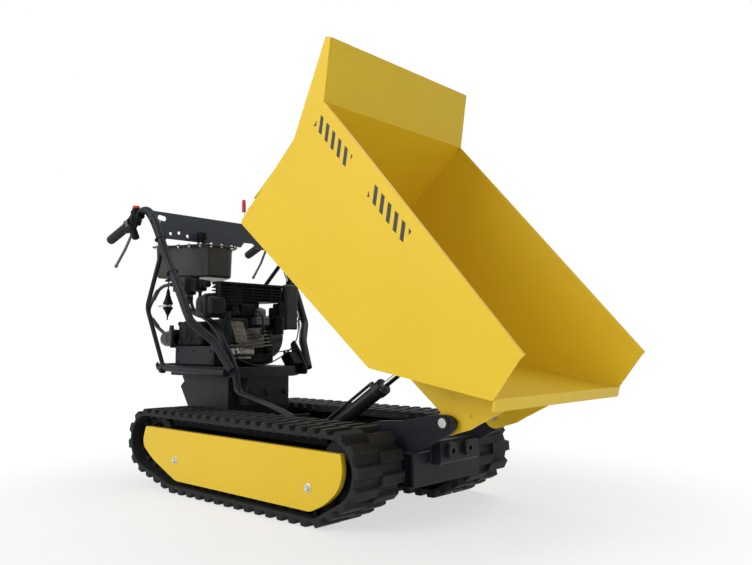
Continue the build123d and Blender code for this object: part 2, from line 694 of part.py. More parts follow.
def grip():
    """The right rubber grip, closed over the end of the bar."""
    sleeve = rod(on_grip(-8), on_grip(GRIP_LENGTH), GRIP_R)
    sleeve = chamfer(sleeve.edges().filter_by(GeomType.CIRCLE), 3)
    sleeve += rod(on_grip(GRIP_LENGTH - 6), on_grip(GRIP_LENGTH), GRIP_R + 5)
    return sleeve - rod(on_grip(0), on_grip(GRIP_LENGTH + 1), BAR_R)


def hand_lever():
    """The right clutch lever, hung from a clamp on the bar beside the grip."""
    clamp = rod(on_grip(GRIP_LENGTH + 3), on_grip(GRIP_LENGTH + 21), BAR_R + 7)
    middle = Vector(*on_grip(GRIP_LENGTH + 12))
    pivot, bend, tip = (tuple(middle + Vector(*step)) for step in ((0, 4, -40), (-37, 0, -92), (-91, -4, -148)))
    clamp += rod(tuple(middle), pivot, 6.5)
    blade = tube((pivot, bend, tip), 60, 5) + Pos(*tip) * Sphere(7)
    lever = clamp + blade - handlebar()
    return lever - rod(on_grip(-20), on_grip(GRIP_LENGTH + 1), GRIP_R + 6)


# Controls

TIP_LEVER_TOP = (PANEL_X - 24, 122, PANEL_LOW_Z + 146)


def control_panel():
    """The plate between the handlebars, with holes, a slot and an arched lower edge."""
    half = PANEL_HALF_WIDTH
    low, top = PANEL_LOW_Z, PANEL_TOP_Z
    face = rounded(((-half, top - 42), (-half, top), (half, top), (half, top - 42), (half - 40, low),
                    (165, low), (150, low + 20), (105, low + 20), (90, low), (-half + 40, low)),
                   (10, 10, 10, 10, 10, 5, 10, 10, 5, 10))
    for side in (-1, 1):
        face -= Pos(side * (half - 46), top - 22) * Rot(0, 0, side * 8) * SlotOverall(34, 18)
    for y, height in ((-222, 20), (-188, 26), (-152, 18)):
        face -= Pos(y, low + height) * Circle(6)
    face -= Pos(-112, low + 36) * RectangleRounded(12, 44, 5)
    plane = Plane(origin=(PANEL_X, 0, 0), x_dir=(0, 1, 0), z_dir=(1, 0, 0))
    panel = extrude(plane * face, amount=PANEL_SHEET)
    for side in (-1, 1):
        bar = tube(BAR_POINTS, BAR_BENDS, BAR_R + FIT)
        panel -= bar if side < 0 else mirror(bar, about=Plane.XZ)
    tab_x = PANEL_X + PANEL_SHEET
    panel += box(tab_x, tab_x + 28, -60, -20, low, low + PANEL_SHEET)
    panel += box(tab_x + 25, tab_x + 28, -60, -20, TANK_TOP_Z, low)
    return panel.solids().sort_by(SortBy.VOLUME)[-1]


def tip_lever():
    """The tipping control lever behind the panel, with its long knob."""
    foot = box(PANEL_X - 26, PANEL_X, 106, 134, PANEL_LOW_Z + 25, PANEL_LOW_Z + 55)
    stem = rod((PANEL_X - 14, 120, PANEL_LOW_Z + 50), TIP_LEVER_TOP, 5)
    return foot + stem


def lever_knob():
    """The long knob pushed onto the tipping lever."""
    x, y, z = TIP_LEVER_TOP
    knob = rod((x, y, z), (x - 3, y + 0.5, z + 52), 8)
    return fillet(knob.edges().filter_by(GeomType.CIRCLE), 3)


def switch_box():
    """The switch housing clamped on the right bar."""
    centre = Vector(*on_grip(SWITCH_PLACE))
    housing = Pos(*centre) * Box(30, 40, 66)
    housing = fillet(housing.edges(), 6)
    return housing - tube(BAR_POINTS, BAR_BENDS, BAR_R)


def stop_button():
    """The round stop button on top of the switch housing."""
    centre = Vector(*on_grip(SWITCH_PLACE))
    low = (centre.X, centre.Y, centre.Z + 33)
    button = rod(low, (centre.X, centre.Y, centre.Z + 47), 10)
    return chamfer(button.edges().filter_by(GeomType.CIRCLE).sort_by(Axis.Z)[-1:], 3)


# Hydraulics

def oil_tank():
    """The oil tank, narrow in front and wide behind, with a bolted flange and filler."""
    def plan(grow):
        front, rear = TANK_FRONT_X + grow, TANK_REAR_X - grow
        narrow, wide = TANK_FRONT_WIDTH / 2 + grow, TANK_REAR_WIDTH / 2 + grow
        y = TANK_Y
        return rounded(((front, y - narrow), (front, y + narrow), (rear, y + wide), (rear, y - wide)),
                       (16 + grow, 16 + grow, 16 + grow, 16 + grow))

    body = loft([Pos(0, 0, TANK_LOW_Z) * plan(-6), Pos(0, 0, TANK_TOP_Z - TANK_FLANGE) * plan(0)])
    tank = body + extrude(Pos(0, 0, TANK_TOP_Z - TANK_FLANGE) * plan(12), amount=TANK_FLANGE)
    filler_x, filler_y = TANK_FRONT_X - 26, TANK_Y - 34
    tank += rod((filler_x, filler_y, TANK_TOP_Z), (filler_x, filler_y, TANK_TOP_Z + 26), 15)
    tank += rod((filler_x, filler_y, TANK_TOP_Z + 26), (filler_x, filler_y, TANK_TOP_Z + 54), 10)
    return tank


VALVE_PORT_Z = TANK_LOW_Z - VALVE_HEIGHT - FITTING_LENGTH


def valve_block():
    """The control valve hung below the tank, with its screwed fittings."""
    x, y = VALVE_X, VALVE_Y
    block = box(x - 40, x + 40, y - 34, y + 34, TANK_LOW_Z - VALVE_HEIGHT, TANK_LOW_Z)
    block = fillet(block.edges().filter_by(Axis.Z), 6)
    half = HOSE_SPACING / 2
    for fx, fy in ((x + 18, y - half), (x + 18, y + half), (x - 18, y - 12)):
        block += extrude(Pos(fx, fy, VALVE_PORT_Z) * RegularPolygon(HOSE_R + 1, 6), amount=FITTING_LENGTH)
    return block


def hydraulic_pump():
    """The gear pump on the rear of the belt guard, with the fittings of its two lines."""
    x = GUARD_REAR_X
    pump = rod((x, PUMP_Y, PUMP_Z), (x - 98, PUMP_Y, PUMP_Z), 29)
    pump = fillet(pump.edges().filter_by(GeomType.CIRCLE).sort_by(Axis.X)[:1], 6)
    pump += box(x - 8, x, PUMP_Y - 40, PUMP_Y + 40, PUMP_Z - 34, PUMP_Z + 34)
    pump += rod((x - 60, PUMP_Y, PUMP_Z), (x - 60, PUMP_Y, PUMP_Z + 38), 9)
    return pump


def pump_hose():
    """The hose from the valve out to the side and back to the pump."""
    top = (VALVE_X - 18, VALVE_Y - 12, VALVE_PORT_Z)
    foot = (GUARD_REAR_X - 60, PUMP_Y, PUMP_Z + 38)
    points = (top, (top[0], top[1], top[2] - 23), (-785, -172, top[2] - 45),
              (foot[0], foot[1], foot[2] + 40), foot)
    return tube(points, (22, 30, 14), HOSE_R)


def tip_hoses():
    """The two hoses from the valve, past the deck, to the bulkhead on the chassis."""
    hoses = []
    lane = 18 - DECK_HALF_WIDTH
    for shift in (-HOSE_SPACING / 2, HOSE_SPACING / 2):
        start = (VALVE_X + 18, VALVE_Y + shift, VALVE_PORT_Z)
        end = (BULKHEAD_X, BULKHEAD_Y + shift, BULKHEAD_Z)
        points = (start, (start[0], start[1], DECK_TOP_Z + 186), (-480, lane + shift, DECK_TOP_Z + 160),
                  (-315, lane + shift, DECK_TOP_Z - 7), (-313, lane + 2 + shift, DECK_TOP_Z - 86),
                  (-200, -112 + shift, end[2] + 36), (-95, end[1], end[2]), end)
        hoses.append(tube(points, (26, 60, 50, 26, 100, 40), HOSE_R).solid())
    return Compound(children=hoses)


def hose_bulkhead():
    """The upright bracket on the right rail where the hoses end."""
    x, y = BULKHEAD_X, BULKHEAD_Y
    plate = box(x, x + 5, -RAIL_Y - 22, y + 22, RAIL_TOP_Z + 5, BULKHEAD_Z + 18)
    foot = box(x - 30, x + 5, -RAIL_Y - 22, -RAIL_Y, RAIL_TOP_Z, RAIL_TOP_Z + 5)
    for shift in (-HOSE_SPACING / 2, HOSE_SPACING / 2):
        plate += extrude(Plane(origin=(x + 5, y + shift, BULKHEAD_Z), z_dir=(1, 0, 0)) * RegularPolygon(7.5, 6),
                         amount=14)
    return plate + foot


# Engine

def engine_block():
    """The crankcase on its two feet."""
    rear, front = ENGINE_REAR_X, ENGINE_FRONT_X - 20
    case = box(rear, front, ENGINE_Y - 92, ENGINE_Y + 92, DECK_TOP_Z + 12, CRANKCASE_TOP_Z)
    case = fillet(case.edges().filter_by(Axis.Z) + case.edges().filter_by(Axis.X), 16)
    for x in (rear + 24, front - 54):
        case += box(x, x + 30, ENGINE_Y - 86, ENGINE_Y + 86, DECK_TOP_Z, DECK_TOP_Z + 30)
    return case


def engine_cylinder():
    """The air-cooled cylinder in front of the crankcase, with its cooling fins."""
    rear, front = ENGINE_FRONT_X - 20, ENGINE_FRONT_X + 46
    top = CYLINDER_LOW_Z + (FIN_COUNT - 1) * FIN_PITCH
    block = box(rear, front - 8, ENGINE_Y - 48, ENGINE_Y + 36, CYLINDER_LOW_Z, top)
    for i in range(FIN_COUNT):
        z = CYLINDER_LOW_Z + i * FIN_PITCH
        fin = box(rear, front, ENGINE_Y - 58, ENGINE_Y + 46, z, z + FIN_SHEET)
        block += fillet(fin.edges().filter_by(Axis.Z).sort_by(Axis.X)[-2:], 12)
    return block


def engine_top_cover():
    """The slatted cover over the engine."""
    low, high = TOP_COVER_Z
    cover = box(ENGINE_REAR_X, ENGINE_FRONT_X, -158, 150, low, high)
    cover = fillet(cover.edges().filter_by(Axis.Z), 18)
    cover = fillet(cover.edges().group_by(Axis.Z)[-1], 8)
    face = ENGINE_FRONT_X + 1
    for i in range(SLAT_COUNT):
        z = low + 10 + i * SLAT_PITCH
        for y0, y1 in ((-138, -8), (4, 130)):
            cover -= box(face - 9, face, y0, y1, z, z + SLAT_GAP)
    neck = box(ENGINE_REAR_X + 40, ENGINE_FRONT_X - 40, ENGINE_Y - 50, ENGINE_Y + 50, CRANKCASE_TOP_Z, low)
    return cover + neck


def recoil_cover():
    """The round starter cover on the left of the crankcase, with radial slots."""
    x = (ENGINE_REAR_X + ENGINE_FRONT_X) / 2 - 10
    rear = ENGINE_Y + 92
    face = rear + STARTER_DEPTH
    disc = Circle(STARTER_R) - PolarLocations(STARTER_R - 28, 12) * SlotOverall(34, 8)
    rim = extrude(Plane(origin=(x, face, STARTER_Z), x_dir=(1, 0, 0), z_dir=(0, 1, 0)) * disc, amount=14)
    return rod((x, rear, STARTER_Z), (x, face, STARTER_Z), STARTER_R) + rim


def air_filter():
    """The rounded air filter on the right of the engine."""
    low, high = FILTER_Z
    case = box(ENGINE_FRONT_X - 82, ENGINE_FRONT_X, -215, -112, low, high)
    case = fillet(case.edges().filter_by(Axis.X), 20)
    return case + box(ENGINE_FRONT_X - 60, ENGINE_FRONT_X - 30, -112, ENGINE_Y - 50, low + 15, high - 16)


def muffler():
    """The tall silencer box on the left of the engine, with its pipe from the cylinder's side."""
    low, high = SILENCER_Z
    case = box(ENGINE_FRONT_X - 130, ENGINE_FRONT_X - 4, 152, 210, low, high)
    case = fillet(case.edges().filter_by(Axis.Y), 12)
    pipe_x, pipe_z = ENGINE_FRONT_X - 60, low + 68
    return case + rod((pipe_x, 156, pipe_z), (pipe_x, ENGINE_Y + 50, pipe_z), 14)


def carburettor():
    """The carburettor and its cover in front of the engine."""
    base = CRANKCASE_TOP_Z - 7
    body = box(ENGINE_FRONT_X - 20, ENGINE_FRONT_X + 40, 0, 62, base, base + 53)
    body = fillet(body.edges().filter_by(Axis.X), 8)
    return body + box(ENGINE_FRONT_X, ENGINE_FRONT_X + 26, 62, 114, base - 47, base + 21)


def belt_guard():
    """The guard along the right of the engine that carries the pump."""
    outer, inner = -142, ENGINE_Y - 92.5
    low = box(GUARD_REAR_X, -455, outer, inner, DECK_TOP_Z, DECK_TOP_Z + 71)
    high = box(GUARD_REAR_X, -545, outer, inner, DECK_TOP_Z + 71, DECK_TOP_Z + 160)
    guard = low + high
    return fillet(guard.edges().filter_by(Axis.Y), 8)


def cable_box():
    """The small closed box on the deck's left front corner, where the control cables end."""
    outline = [(x, DECK_TOP_Z + height) for x, height in
               ((-372, 0), (-324, 0), (-318, 10), (-350, 52), (-394, 30))]
    body = side_plate(rounded(outline, (3, 3, 4, 5, 5)), 110, DECK_HALF_WIDTH - 2)
    for x in (-384, -366):
        body += rod((x, 124, DECK_TOP_Z + 28), (x - 8, 124, DECK_TOP_Z + 52), 5)
    return body


PARTS = {}


def build():
    """Makes every piece, by node name."""
    for name, solid in (
        ("track_belt", track_belt()),
        ("drive_sprocket", sprocket()),
        ("front_idler", idler()),
        ("track_rollers", rollers()),
        ("track_frame", track_frame()),
        ("track_cover", track_cover()),
        ("tip_arm", tip_arm()),
        ("handlebar", handlebar()),
    ):
        PARTS[name + "_right"] = solid
        PARTS[name + "_left"] = mirror(solid, about=Plane.XZ)
    PARTS["chassis_frame"] = chassis_frame()
    PARTS["front_plate"] = front_plate()
    PARTS["pivot_pins"] = pair(pivot_pin())
    PARTS["final_drive"] = final_drive()
    PARTS["cylinder_mount"] = cylinder_mount()
    PARTS["engine_deck"] = engine_deck()
    PARTS["deck_pedestal"] = deck_pedestal()
    PARTS["guard_loop"] = guard_loop()
    PARTS["bar_brackets"] = pair(bar_bracket())
    PARTS["handlebar_struts"] = pair(strut())
    PARTS["handle_grips"] = pair(grip())
    PARTS["hand_levers"] = pair(hand_lever())
    PARTS["control_panel"] = control_panel()
    PARTS["tip_lever"] = tip_lever()
    PARTS["switch_box"] = switch_box()
    PARTS["red_knobs"] = Compound(children=[lever_knob().solid(), stop_button().solid()])
    PARTS["oil_tank"] = oil_tank()
    PARTS["valve_block"] = valve_block()
    PARTS["hydraulic_pump"] = hydraulic_pump()
    PARTS["pump_hose"] = pump_hose()
    PARTS["tip_hoses"] = tip_hoses()
    PARTS["engine_block"] = engine_block()
    PARTS["engine_cylinder"] = engine_cylinder()
    PARTS["engine_top_cover"] = engine_top_cover()
    PARTS["recoil_cover"] = recoil_cover()
    PARTS["air_filter"] = air_filter()
    PARTS["muffler"] = muffler()
    PARTS["carburettor"] = carburettor()
    PARTS["belt_guard"] = belt_guard()
    PARTS["cable_box"] = cable_box()
    PARTS["skip_shell"] = skip_shell()
    PARTS["skip_brackets"] = pair(skip_bracket())
    PARTS["rod_lugs"] = pair(rod_lug())
    PARTS["cylinder_barrel"] = cylinder_barrel()
    PARTS["cylinder_rod"] = cylinder_rod()


build()
os.makedirs("parts", exist_ok=True)
for part_name, part in PARTS.items():
    export_step(part, f"parts/{part_name}.step")
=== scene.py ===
"""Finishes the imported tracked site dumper: skins, fittings, hoses, finishes and stage."""
import json
from math import acos, atan2, copysign, cos, dist, hypot, pi, radians, sin

import bmesh
import bpy
from bpy.props import FloatProperty, FloatVectorProperty, IntProperty, PointerProperty
from mathutils import Matrix, Vector

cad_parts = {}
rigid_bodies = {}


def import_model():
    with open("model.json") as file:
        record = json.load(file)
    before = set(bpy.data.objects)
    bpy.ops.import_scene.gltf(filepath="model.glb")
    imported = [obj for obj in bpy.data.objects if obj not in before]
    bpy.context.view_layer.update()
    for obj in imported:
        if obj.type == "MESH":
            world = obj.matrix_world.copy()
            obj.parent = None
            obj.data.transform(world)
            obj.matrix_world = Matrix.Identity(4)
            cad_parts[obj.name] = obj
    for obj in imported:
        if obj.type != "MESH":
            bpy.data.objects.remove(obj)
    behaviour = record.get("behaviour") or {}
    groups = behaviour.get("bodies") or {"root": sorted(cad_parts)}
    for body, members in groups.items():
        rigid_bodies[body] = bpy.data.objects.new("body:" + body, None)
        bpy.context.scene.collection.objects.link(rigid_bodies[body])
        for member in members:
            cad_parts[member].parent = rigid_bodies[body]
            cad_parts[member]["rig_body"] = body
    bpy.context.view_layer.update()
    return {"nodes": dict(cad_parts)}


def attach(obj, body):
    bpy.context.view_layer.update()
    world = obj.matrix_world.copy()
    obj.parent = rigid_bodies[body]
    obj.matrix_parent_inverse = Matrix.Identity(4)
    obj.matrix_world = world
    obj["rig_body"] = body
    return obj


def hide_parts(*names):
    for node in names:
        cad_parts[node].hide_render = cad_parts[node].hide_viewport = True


bl_info = {
    "name": "Tracked site dumper",
    "version": (1, 0, 0),
    "blender": (4, 5, 0),
    "location": "3D View > Sidebar > Dumper",
    "description": "Finishes the packed site dumper and sets its stage",
    "category": "Object",
}

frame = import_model()
NODES = frame["nodes"]
MM = 0.001
SIDES = ((-1, "right"), (1, "left"))
UP, DOWN, FORWARDS, BACKWARDS, RIGHT = (0, 0, 1), (0, 0, -1), (1, 0, 0), (-1, 0, 0), (0, -1, 0)
STAND = Matrix.Rotation(radians(90), 4, "X")

# Places from the CAD model, in mm and degrees; U and V belong to the skip's own side view
HINGE = (531.6, 0, 270.5)
HINGE_U, HINGE_V = 835.0, -54.0
TIPPED = 38.8
SKIP_FACE, COVER_FACE, SHEET_Y = 316.0, 330, 311.6
LUG_PITCH = 46
WHEELS = ((-556.0, 149.0, 82.0), (-396.0, 52.3, 28.3), (262.0, 52.3, 28.3), (326.0, 149.0, 82.0))
CYLINDER_FOOT, CYLINDER_ANGLE = (-130, 0, 125), 32.8792


# Sizes and colours

class DumperSizes(bpy.types.PropertyGroup):
    """Sizes of the details"""

    sheet_edge: FloatProperty(name="Sheet edge", description="Rounding of the cut sheet edges",
                              default=0.0009, unit="LENGTH")
    lug_edge: FloatProperty(name="Lug edge", description="Rounding of the rubber lugs",
                            default=0.0030, unit="LENGTH")
    film: FloatProperty(name="Stripe film", description="Thickness of the stripes on the skip",
                        default=0.0004, unit="LENGTH")
    bead: FloatProperty(name="Weld bead", description="Radius of the weld beads",
                        default=0.0024, unit="LENGTH")
    hose: FloatProperty(name="Hose radius", description="Radius of the hydraulic hoses",
                        default=0.0065, unit="LENGTH")
    cable: FloatProperty(name="Cable radius", description="Radius of the control cables",
                         default=0.0022, unit="LENGTH")
    grip_ribs: IntProperty(name="Grip ribs", description="Rings moulded on each grip", default=15, min=4)


class DumperColours(bpy.types.PropertyGroup):
    """Base colours of the finishes"""

    enamel: FloatVectorProperty(name="Enamel", description="Skip and cover paint", subtype="COLOR",
                                size=3, default=(0.79, 0.535, 0.020), min=0, max=1)
    powder: FloatVectorProperty(name="Powder coat", description="Chassis and frame paint", subtype="COLOR",
                                size=3, default=(0.0090, 0.0102, 0.0130), min=0, max=1)
    rubber: FloatVectorProperty(name="Rubber", description="Track rubber", subtype="COLOR",
                                size=3, default=(0.0115, 0.0115, 0.0118), min=0, max=1)


# Modelling by hand

def rest():
    """Leaves edit mode with nothing selected."""
    if bpy.context.object and bpy.context.object.mode != "OBJECT":
        bpy.ops.object.mode_set(mode="OBJECT")
    bpy.ops.object.select_all(action="DESELECT")


def hold(*pieces):
    """Selects these pieces and makes the last one active."""
    rest()
    for piece in pieces:
        piece.select_set(True)
    bpy.context.view_layer.objects.active = pieces[-1]


def edit(piece):
    """Opens a piece in edit mode with all of it selected."""
    hold(piece)
    bpy.ops.object.mode_set(mode="EDIT")
    bpy.ops.mesh.select_all(action="SELECT")


def pick(kind, test):
    """In edit mode, selects only the faces or edges that pass a test."""
    mesh = bpy.context.object.data
    bpy.ops.mesh.select_mode(type={"faces": "FACE", "edges": "EDGE"}[kind])
    bpy.ops.mesh.select_all(action="DESELECT")
    cage = bmesh.from_edit_mesh(mesh)
    for item in getattr(cage, kind):
        item.select = bool(test(item))
    cage.select_flush_mode()
    bmesh.update_edit_mesh(mesh)


def settle(place=None, angle=32):
    """Puts the place of the piece in hand in its mesh and smooths it up to an angle."""
    piece = bpy.context.object
    hold(piece)
    if place is not None:
        piece.matrix_world = place @ piece.matrix_world
    bpy.ops.object.transform_apply(location=True, rotation=True, scale=True)
    bpy.ops.object.shade_smooth_by_angle(angle=radians(angle))
    return piece


def outwards(piece):
    """Merges a piece's doubled points and turns its faces outwards."""
    edit(piece)
    bpy.ops.mesh.remove_doubles(threshold=1e-5)
    bpy.ops.mesh.normals_make_consistent(inside=False)
    rest()
    return piece


def apply(piece, kind, **settings):
    """Adds a modifier with these settings and applies it."""
    hold(piece)
    modifier = piece.modifiers.new(kind.title(), kind)
    for key, value in settings.items():
        setattr(modifier, key, value)
    bpy.ops.object.modifier_apply(modifier=modifier.name)


def soften(piece, width, segments=2):
    """Rounds a piece's sharp edges; the width is in mm."""
    apply(piece, "BEVEL", width=width * MM, segments=segments, limit_method="ANGLE",
          angle_limit=radians(34), use_clamp_overlap=True, harden_normals=False)
    hold(piece)
    bpy.ops.object.shade_smooth_by_angle(angle=radians(40))


def at(x, y, z):
    """The place of a point in mm."""
    return Matrix.Translation(Vector((x, y, z)) * MM)


def towards(point, direction=UP, turn=0.0):
    """The place whose own Z points in a direction, turned about it; the point is in mm."""
    aimed = Vector(direction).to_track_quat("Z", "Y").to_matrix().to_4x4()
    return at(*point) @ aimed @ Matrix.Rotation(radians(turn), 4, "Z")


def skip_place(u, v, y):
    """The place of a point of the skip's own side view, turned with the skip, in mm."""
    return at(*HINGE) @ Matrix.Rotation(radians(TIPPED), 4, "Y") @ at(u - HINGE_U, y, v - HINGE_V)


def both(points):
    """The points, and the same points across the machine."""
    return [*points, *((x, -y, z) for x, y, z in points)]


def across(point, side):
    """A point or direction of the right side, or the same on the left."""
    x, y, z = point
    return Vector((x, -side * y, z))


def between(start, end, pitch, least=1):
    """Points about a pitch apart from one point to another, half a step in from both."""
    count = max(least, round(dist(start, end) / pitch))
    return [tuple(s + (e - s) * (k + 0.5) / count for s, e in zip(start, end)) for k in range(count)]


def ribbed(first, pitch, count, *shape):
    """A profile's heights and radii repeated at a pitch."""
    return [(first + i * pitch + z, r) for i in range(count) for z, r in shape]


def turned(profile, point=None, direction=UP, sides=32):
    """A round or many-sided piece from heights and radii in mm, stood on a point."""
    rest()
    (z, r), *others = profile
    bpy.ops.mesh.primitive_circle_add(vertices=sides, radius=r * MM, fill_type="NGON",
                                      location=(0, 0, z * MM))
    bpy.ops.object.mode_set(mode="EDIT")
    bpy.ops.mesh.select_all(action="SELECT")
    for next_z, next_r in others:
        bpy.ops.mesh.extrude_region_move(TRANSFORM_OT_translate={"value": (0, 0, (next_z - z) * MM)})
        if next_r != r:
            bpy.ops.transform.resize(value=(next_r / r, next_r / r, 1))
        z, r = next_z, next_r
    bpy.ops.mesh.select_all(action="SELECT")
    bpy.ops.mesh.normals_make_consistent(inside=False)
    return settle(None if point is None else towards(point, direction))


def blocks(*rows):
    """Blocks with rounded edges, from rows of two corners, the rounding and its segments."""
    pieces = []
    for x0, y0, z0, x1, y1, z1, edge, *segments in rows:
        rest()
        low, high = Vector((x0, y0, z0)) * MM, Vector((x1, y1, z1)) * MM
        bpy.ops.mesh.primitive_cube_add(size=1, location=(low + high) / 2)
        bpy.context.object.scale = high - low
        pieces.append(settle())
        soften(pieces[-1], edge, *segments)
    return pieces


def sheet(points, depth, place, edge=0.0):
    """A flat plate from its outline in mm, in the XY of its place, made thick along Z."""
    rest()
    bpy.ops.mesh.primitive_circle_add(vertices=len(points), radius=1, fill_type="NGON")
    piece = bpy.context.object
    for vert, (x, y) in zip(piece.data.vertices, points):
        vert.co = (x * MM, y * MM, 0)
    edit(piece)
    bpy.ops.mesh.extrude_region_move(TRANSFORM_OT_translate={"value": (0, 0, depth * MM)})
    bpy.ops.mesh.select_all(action="SELECT")
    bpy.ops.mesh.normals_make_consistent(inside=False)
    piece = settle(place)
    if edge:
        soften(piece, edge)
    return piece


def line(points, radius, sides=12, cyclic=False, order=3):
    """A smooth round tube whose NURBS line has these control points, in mm."""
    rest()
    bpy.ops.curve.primitive_nurbs_path_add()
    piece = bpy.context.object
    curve = piece.data
    curve.splines.clear()
    spline = curve.splines.new("NURBS")
    spline.points.add(len(points) - 1)
    for point, place in zip(spline.points, points):
        point.co = (*(Vector(place) * MM), 1)
    spline.use_cyclic_u = cyclic
    spline.order_u = order
    spline.use_endpoint_u = not cyclic
    spline.resolution_u = 8
    curve.dimensions = "3D"
    curve.bevel_depth = radius
    curve.bevel_resolution = max(0, sides // 4 - 1)
    curve.use_fill_caps = not cyclic
    piece.location = (0, 0, 0)
    bpy.ops.object.convert(target="MESH")
    return outwards(settle(angle=50))


def pressed(piece, test, width, depth):
    """Insets the faces that pass a test and moves them in or out, in mm."""
    edit(piece)
    pick("faces", test)
    bpy.ops.mesh.inset(thickness=width * MM, depth=depth * MM)
    rest()
    return piece


def joined(pieces):
    """Several pieces made one."""
    hold(*pieces)
    bpy.ops.object.transform_apply(location=True, rotation=True, scale=True)
    if len(pieces) > 1:
        bpy.ops.object.join()
    return bpy.context.object


def copies(model, places):
    """Copies of a model at each place, joined as one piece; the model goes."""
    twins = []
    for place in places:
        twin = model.copy()
        twin.data = model.data.copy()
        bpy.context.scene.collection.objects.link(twin)
        twin.matrix_world = place
        twins.append(twin)
    bpy.data.objects.remove(model)
    return joined(twins)


def dress(piece, finish, *stands_for, slot=None, body="chassis"):
    """Gives a piece its finish and the body that it moves with; the slot argument is not used."""
    material, own_slot = FINISHES[finish]
    piece.data.materials.clear()
    piece.data.materials.append(material)
    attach(piece, body)
    if stands_for:
        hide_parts(*stands_for)
    return piece


def fit(name, pieces, finish, *stands_for, **others):
    """Joins pieces under one name and dresses them."""
    piece = joined(pieces)
    piece.name = piece.data.name = name
    return dress(piece, finish, *stands_for, **others)


def skin(node, finish, width):
    """A copy of a CAD node with merged points and rounded edges, which stands for it."""
    source = NODES[node]
    rest()
    piece = bpy.data.objects.new(node + "_skin", source.data.copy())
    piece.data.name = piece.name
    bpy.context.scene.collection.objects.link(piece)
    edit(piece)
    bpy.ops.mesh.remove_doubles(threshold=2e-5)
    bpy.ops.mesh.dissolve_limited(angle_limit=radians(0.6))
    bpy.ops.object.mode_set(mode="OBJECT")
    if width:
        soften(piece, width)
    hold(piece)
    bpy.ops.object.shade_smooth_by_angle(angle=radians(40))
    apply(piece, "WEIGHTED_NORMAL", keep_sharp=True)
    return dress(piece, finish, node, body=source["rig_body"])


# Finishes

FINISHES = {}


def feed(tree, node, inputs):
    """Sets or links a node's inputs."""
    for key, value in inputs.items():
        if isinstance(value, bpy.types.NodeSocket):
            tree.links.new(value, node.inputs[key])
        else:
            node.inputs[key].default_value = value


def add(tree, kind, inputs=None, **settings):
    """Adds a node with its settings and inputs, and returns its outputs."""
    node = tree.nodes.new("ShaderNode" + kind)
    for key, value in settings.items():
        setattr(node, key, value)
    feed(tree, node, inputs or {})
    return node.outputs


def finish(name, slot, colour, second, rough, span, patch, grain, bump, edge_highlight=None, share=0.35, metal=0.0,
           specular=0.5, distance=0.0004):
    """A painted, cast or moulded finish: colour patches, fine grain, uneven gloss and a painted edge
    highlight in random patches.
    """
    material = bpy.data.materials.new(name)
    material.use_nodes = True
    tree = material.node_tree
    where = add(tree, "TexCoord")["Object"]

    def noise(scale, detail, roughness=0.5):
        return add(tree, "TexNoise", {"Vector": where, "Scale": scale, "Detail": detail,
                                      "Roughness": roughness})["Fac"]

    def spread(source, low, high, to_low=0.0, to_high=1.0):
        return add(tree, "MapRange", {"Value": source, "From Min": low, "From Max": high, "To Min": to_low,
                                      "To Max": to_high})["Result"]

    def blend(factor, first, other):
        mixed = add(tree, "Mix", data_type="RGBA")
        feed(tree, mixed[0].node, {"Factor": factor, 6: first, 7: other})
        return mixed[2]

    base = blend(spread(noise(patch, 4.0, 0.55), 0.3, 0.7), (*colour, 1), (*second, 1))
    gloss = spread(noise(patch * 5, 6.0, 0.62), 0.25, 0.75, rough - span, rough + span)
    lift = add(tree, "Bump", {"Strength": bump, "Distance": distance, "Height": noise(grain, 2.0)})
    # Painted edge highlight: edges found through the Bevel node's normal take a lighter colour, broken into
    # random patches.
    if edge_highlight:
        edge = add(tree, "Bevel", {"Radius": 0.0022}, samples=4)
        flat = add(tree, "NewGeometry")
        dot = add(tree, "VectorMath", {0: edge["Normal"], 1: flat["Normal"]}, operation="DOT_PRODUCT")
        highlight_patches = spread(noise(patch * 22, 5.0, 0.7), 0.42, 0.68, 0.0, share)
        lit_edge_mask = add(tree, "Math", {0: spread(dot["Value"], 0.995, 0.90), 1: highlight_patches}, operation="MULTIPLY")
        base = blend(lit_edge_mask["Value"], base, (*edge_highlight, 1))
    feed(tree, tree.nodes["Principled BSDF"],
         {"Base Color": base, "Roughness": gloss, "Normal": lift["Normal"], "Metallic": metal,
          "Specular IOR Level": specular})
    FINISHES[name] = (material, slot)


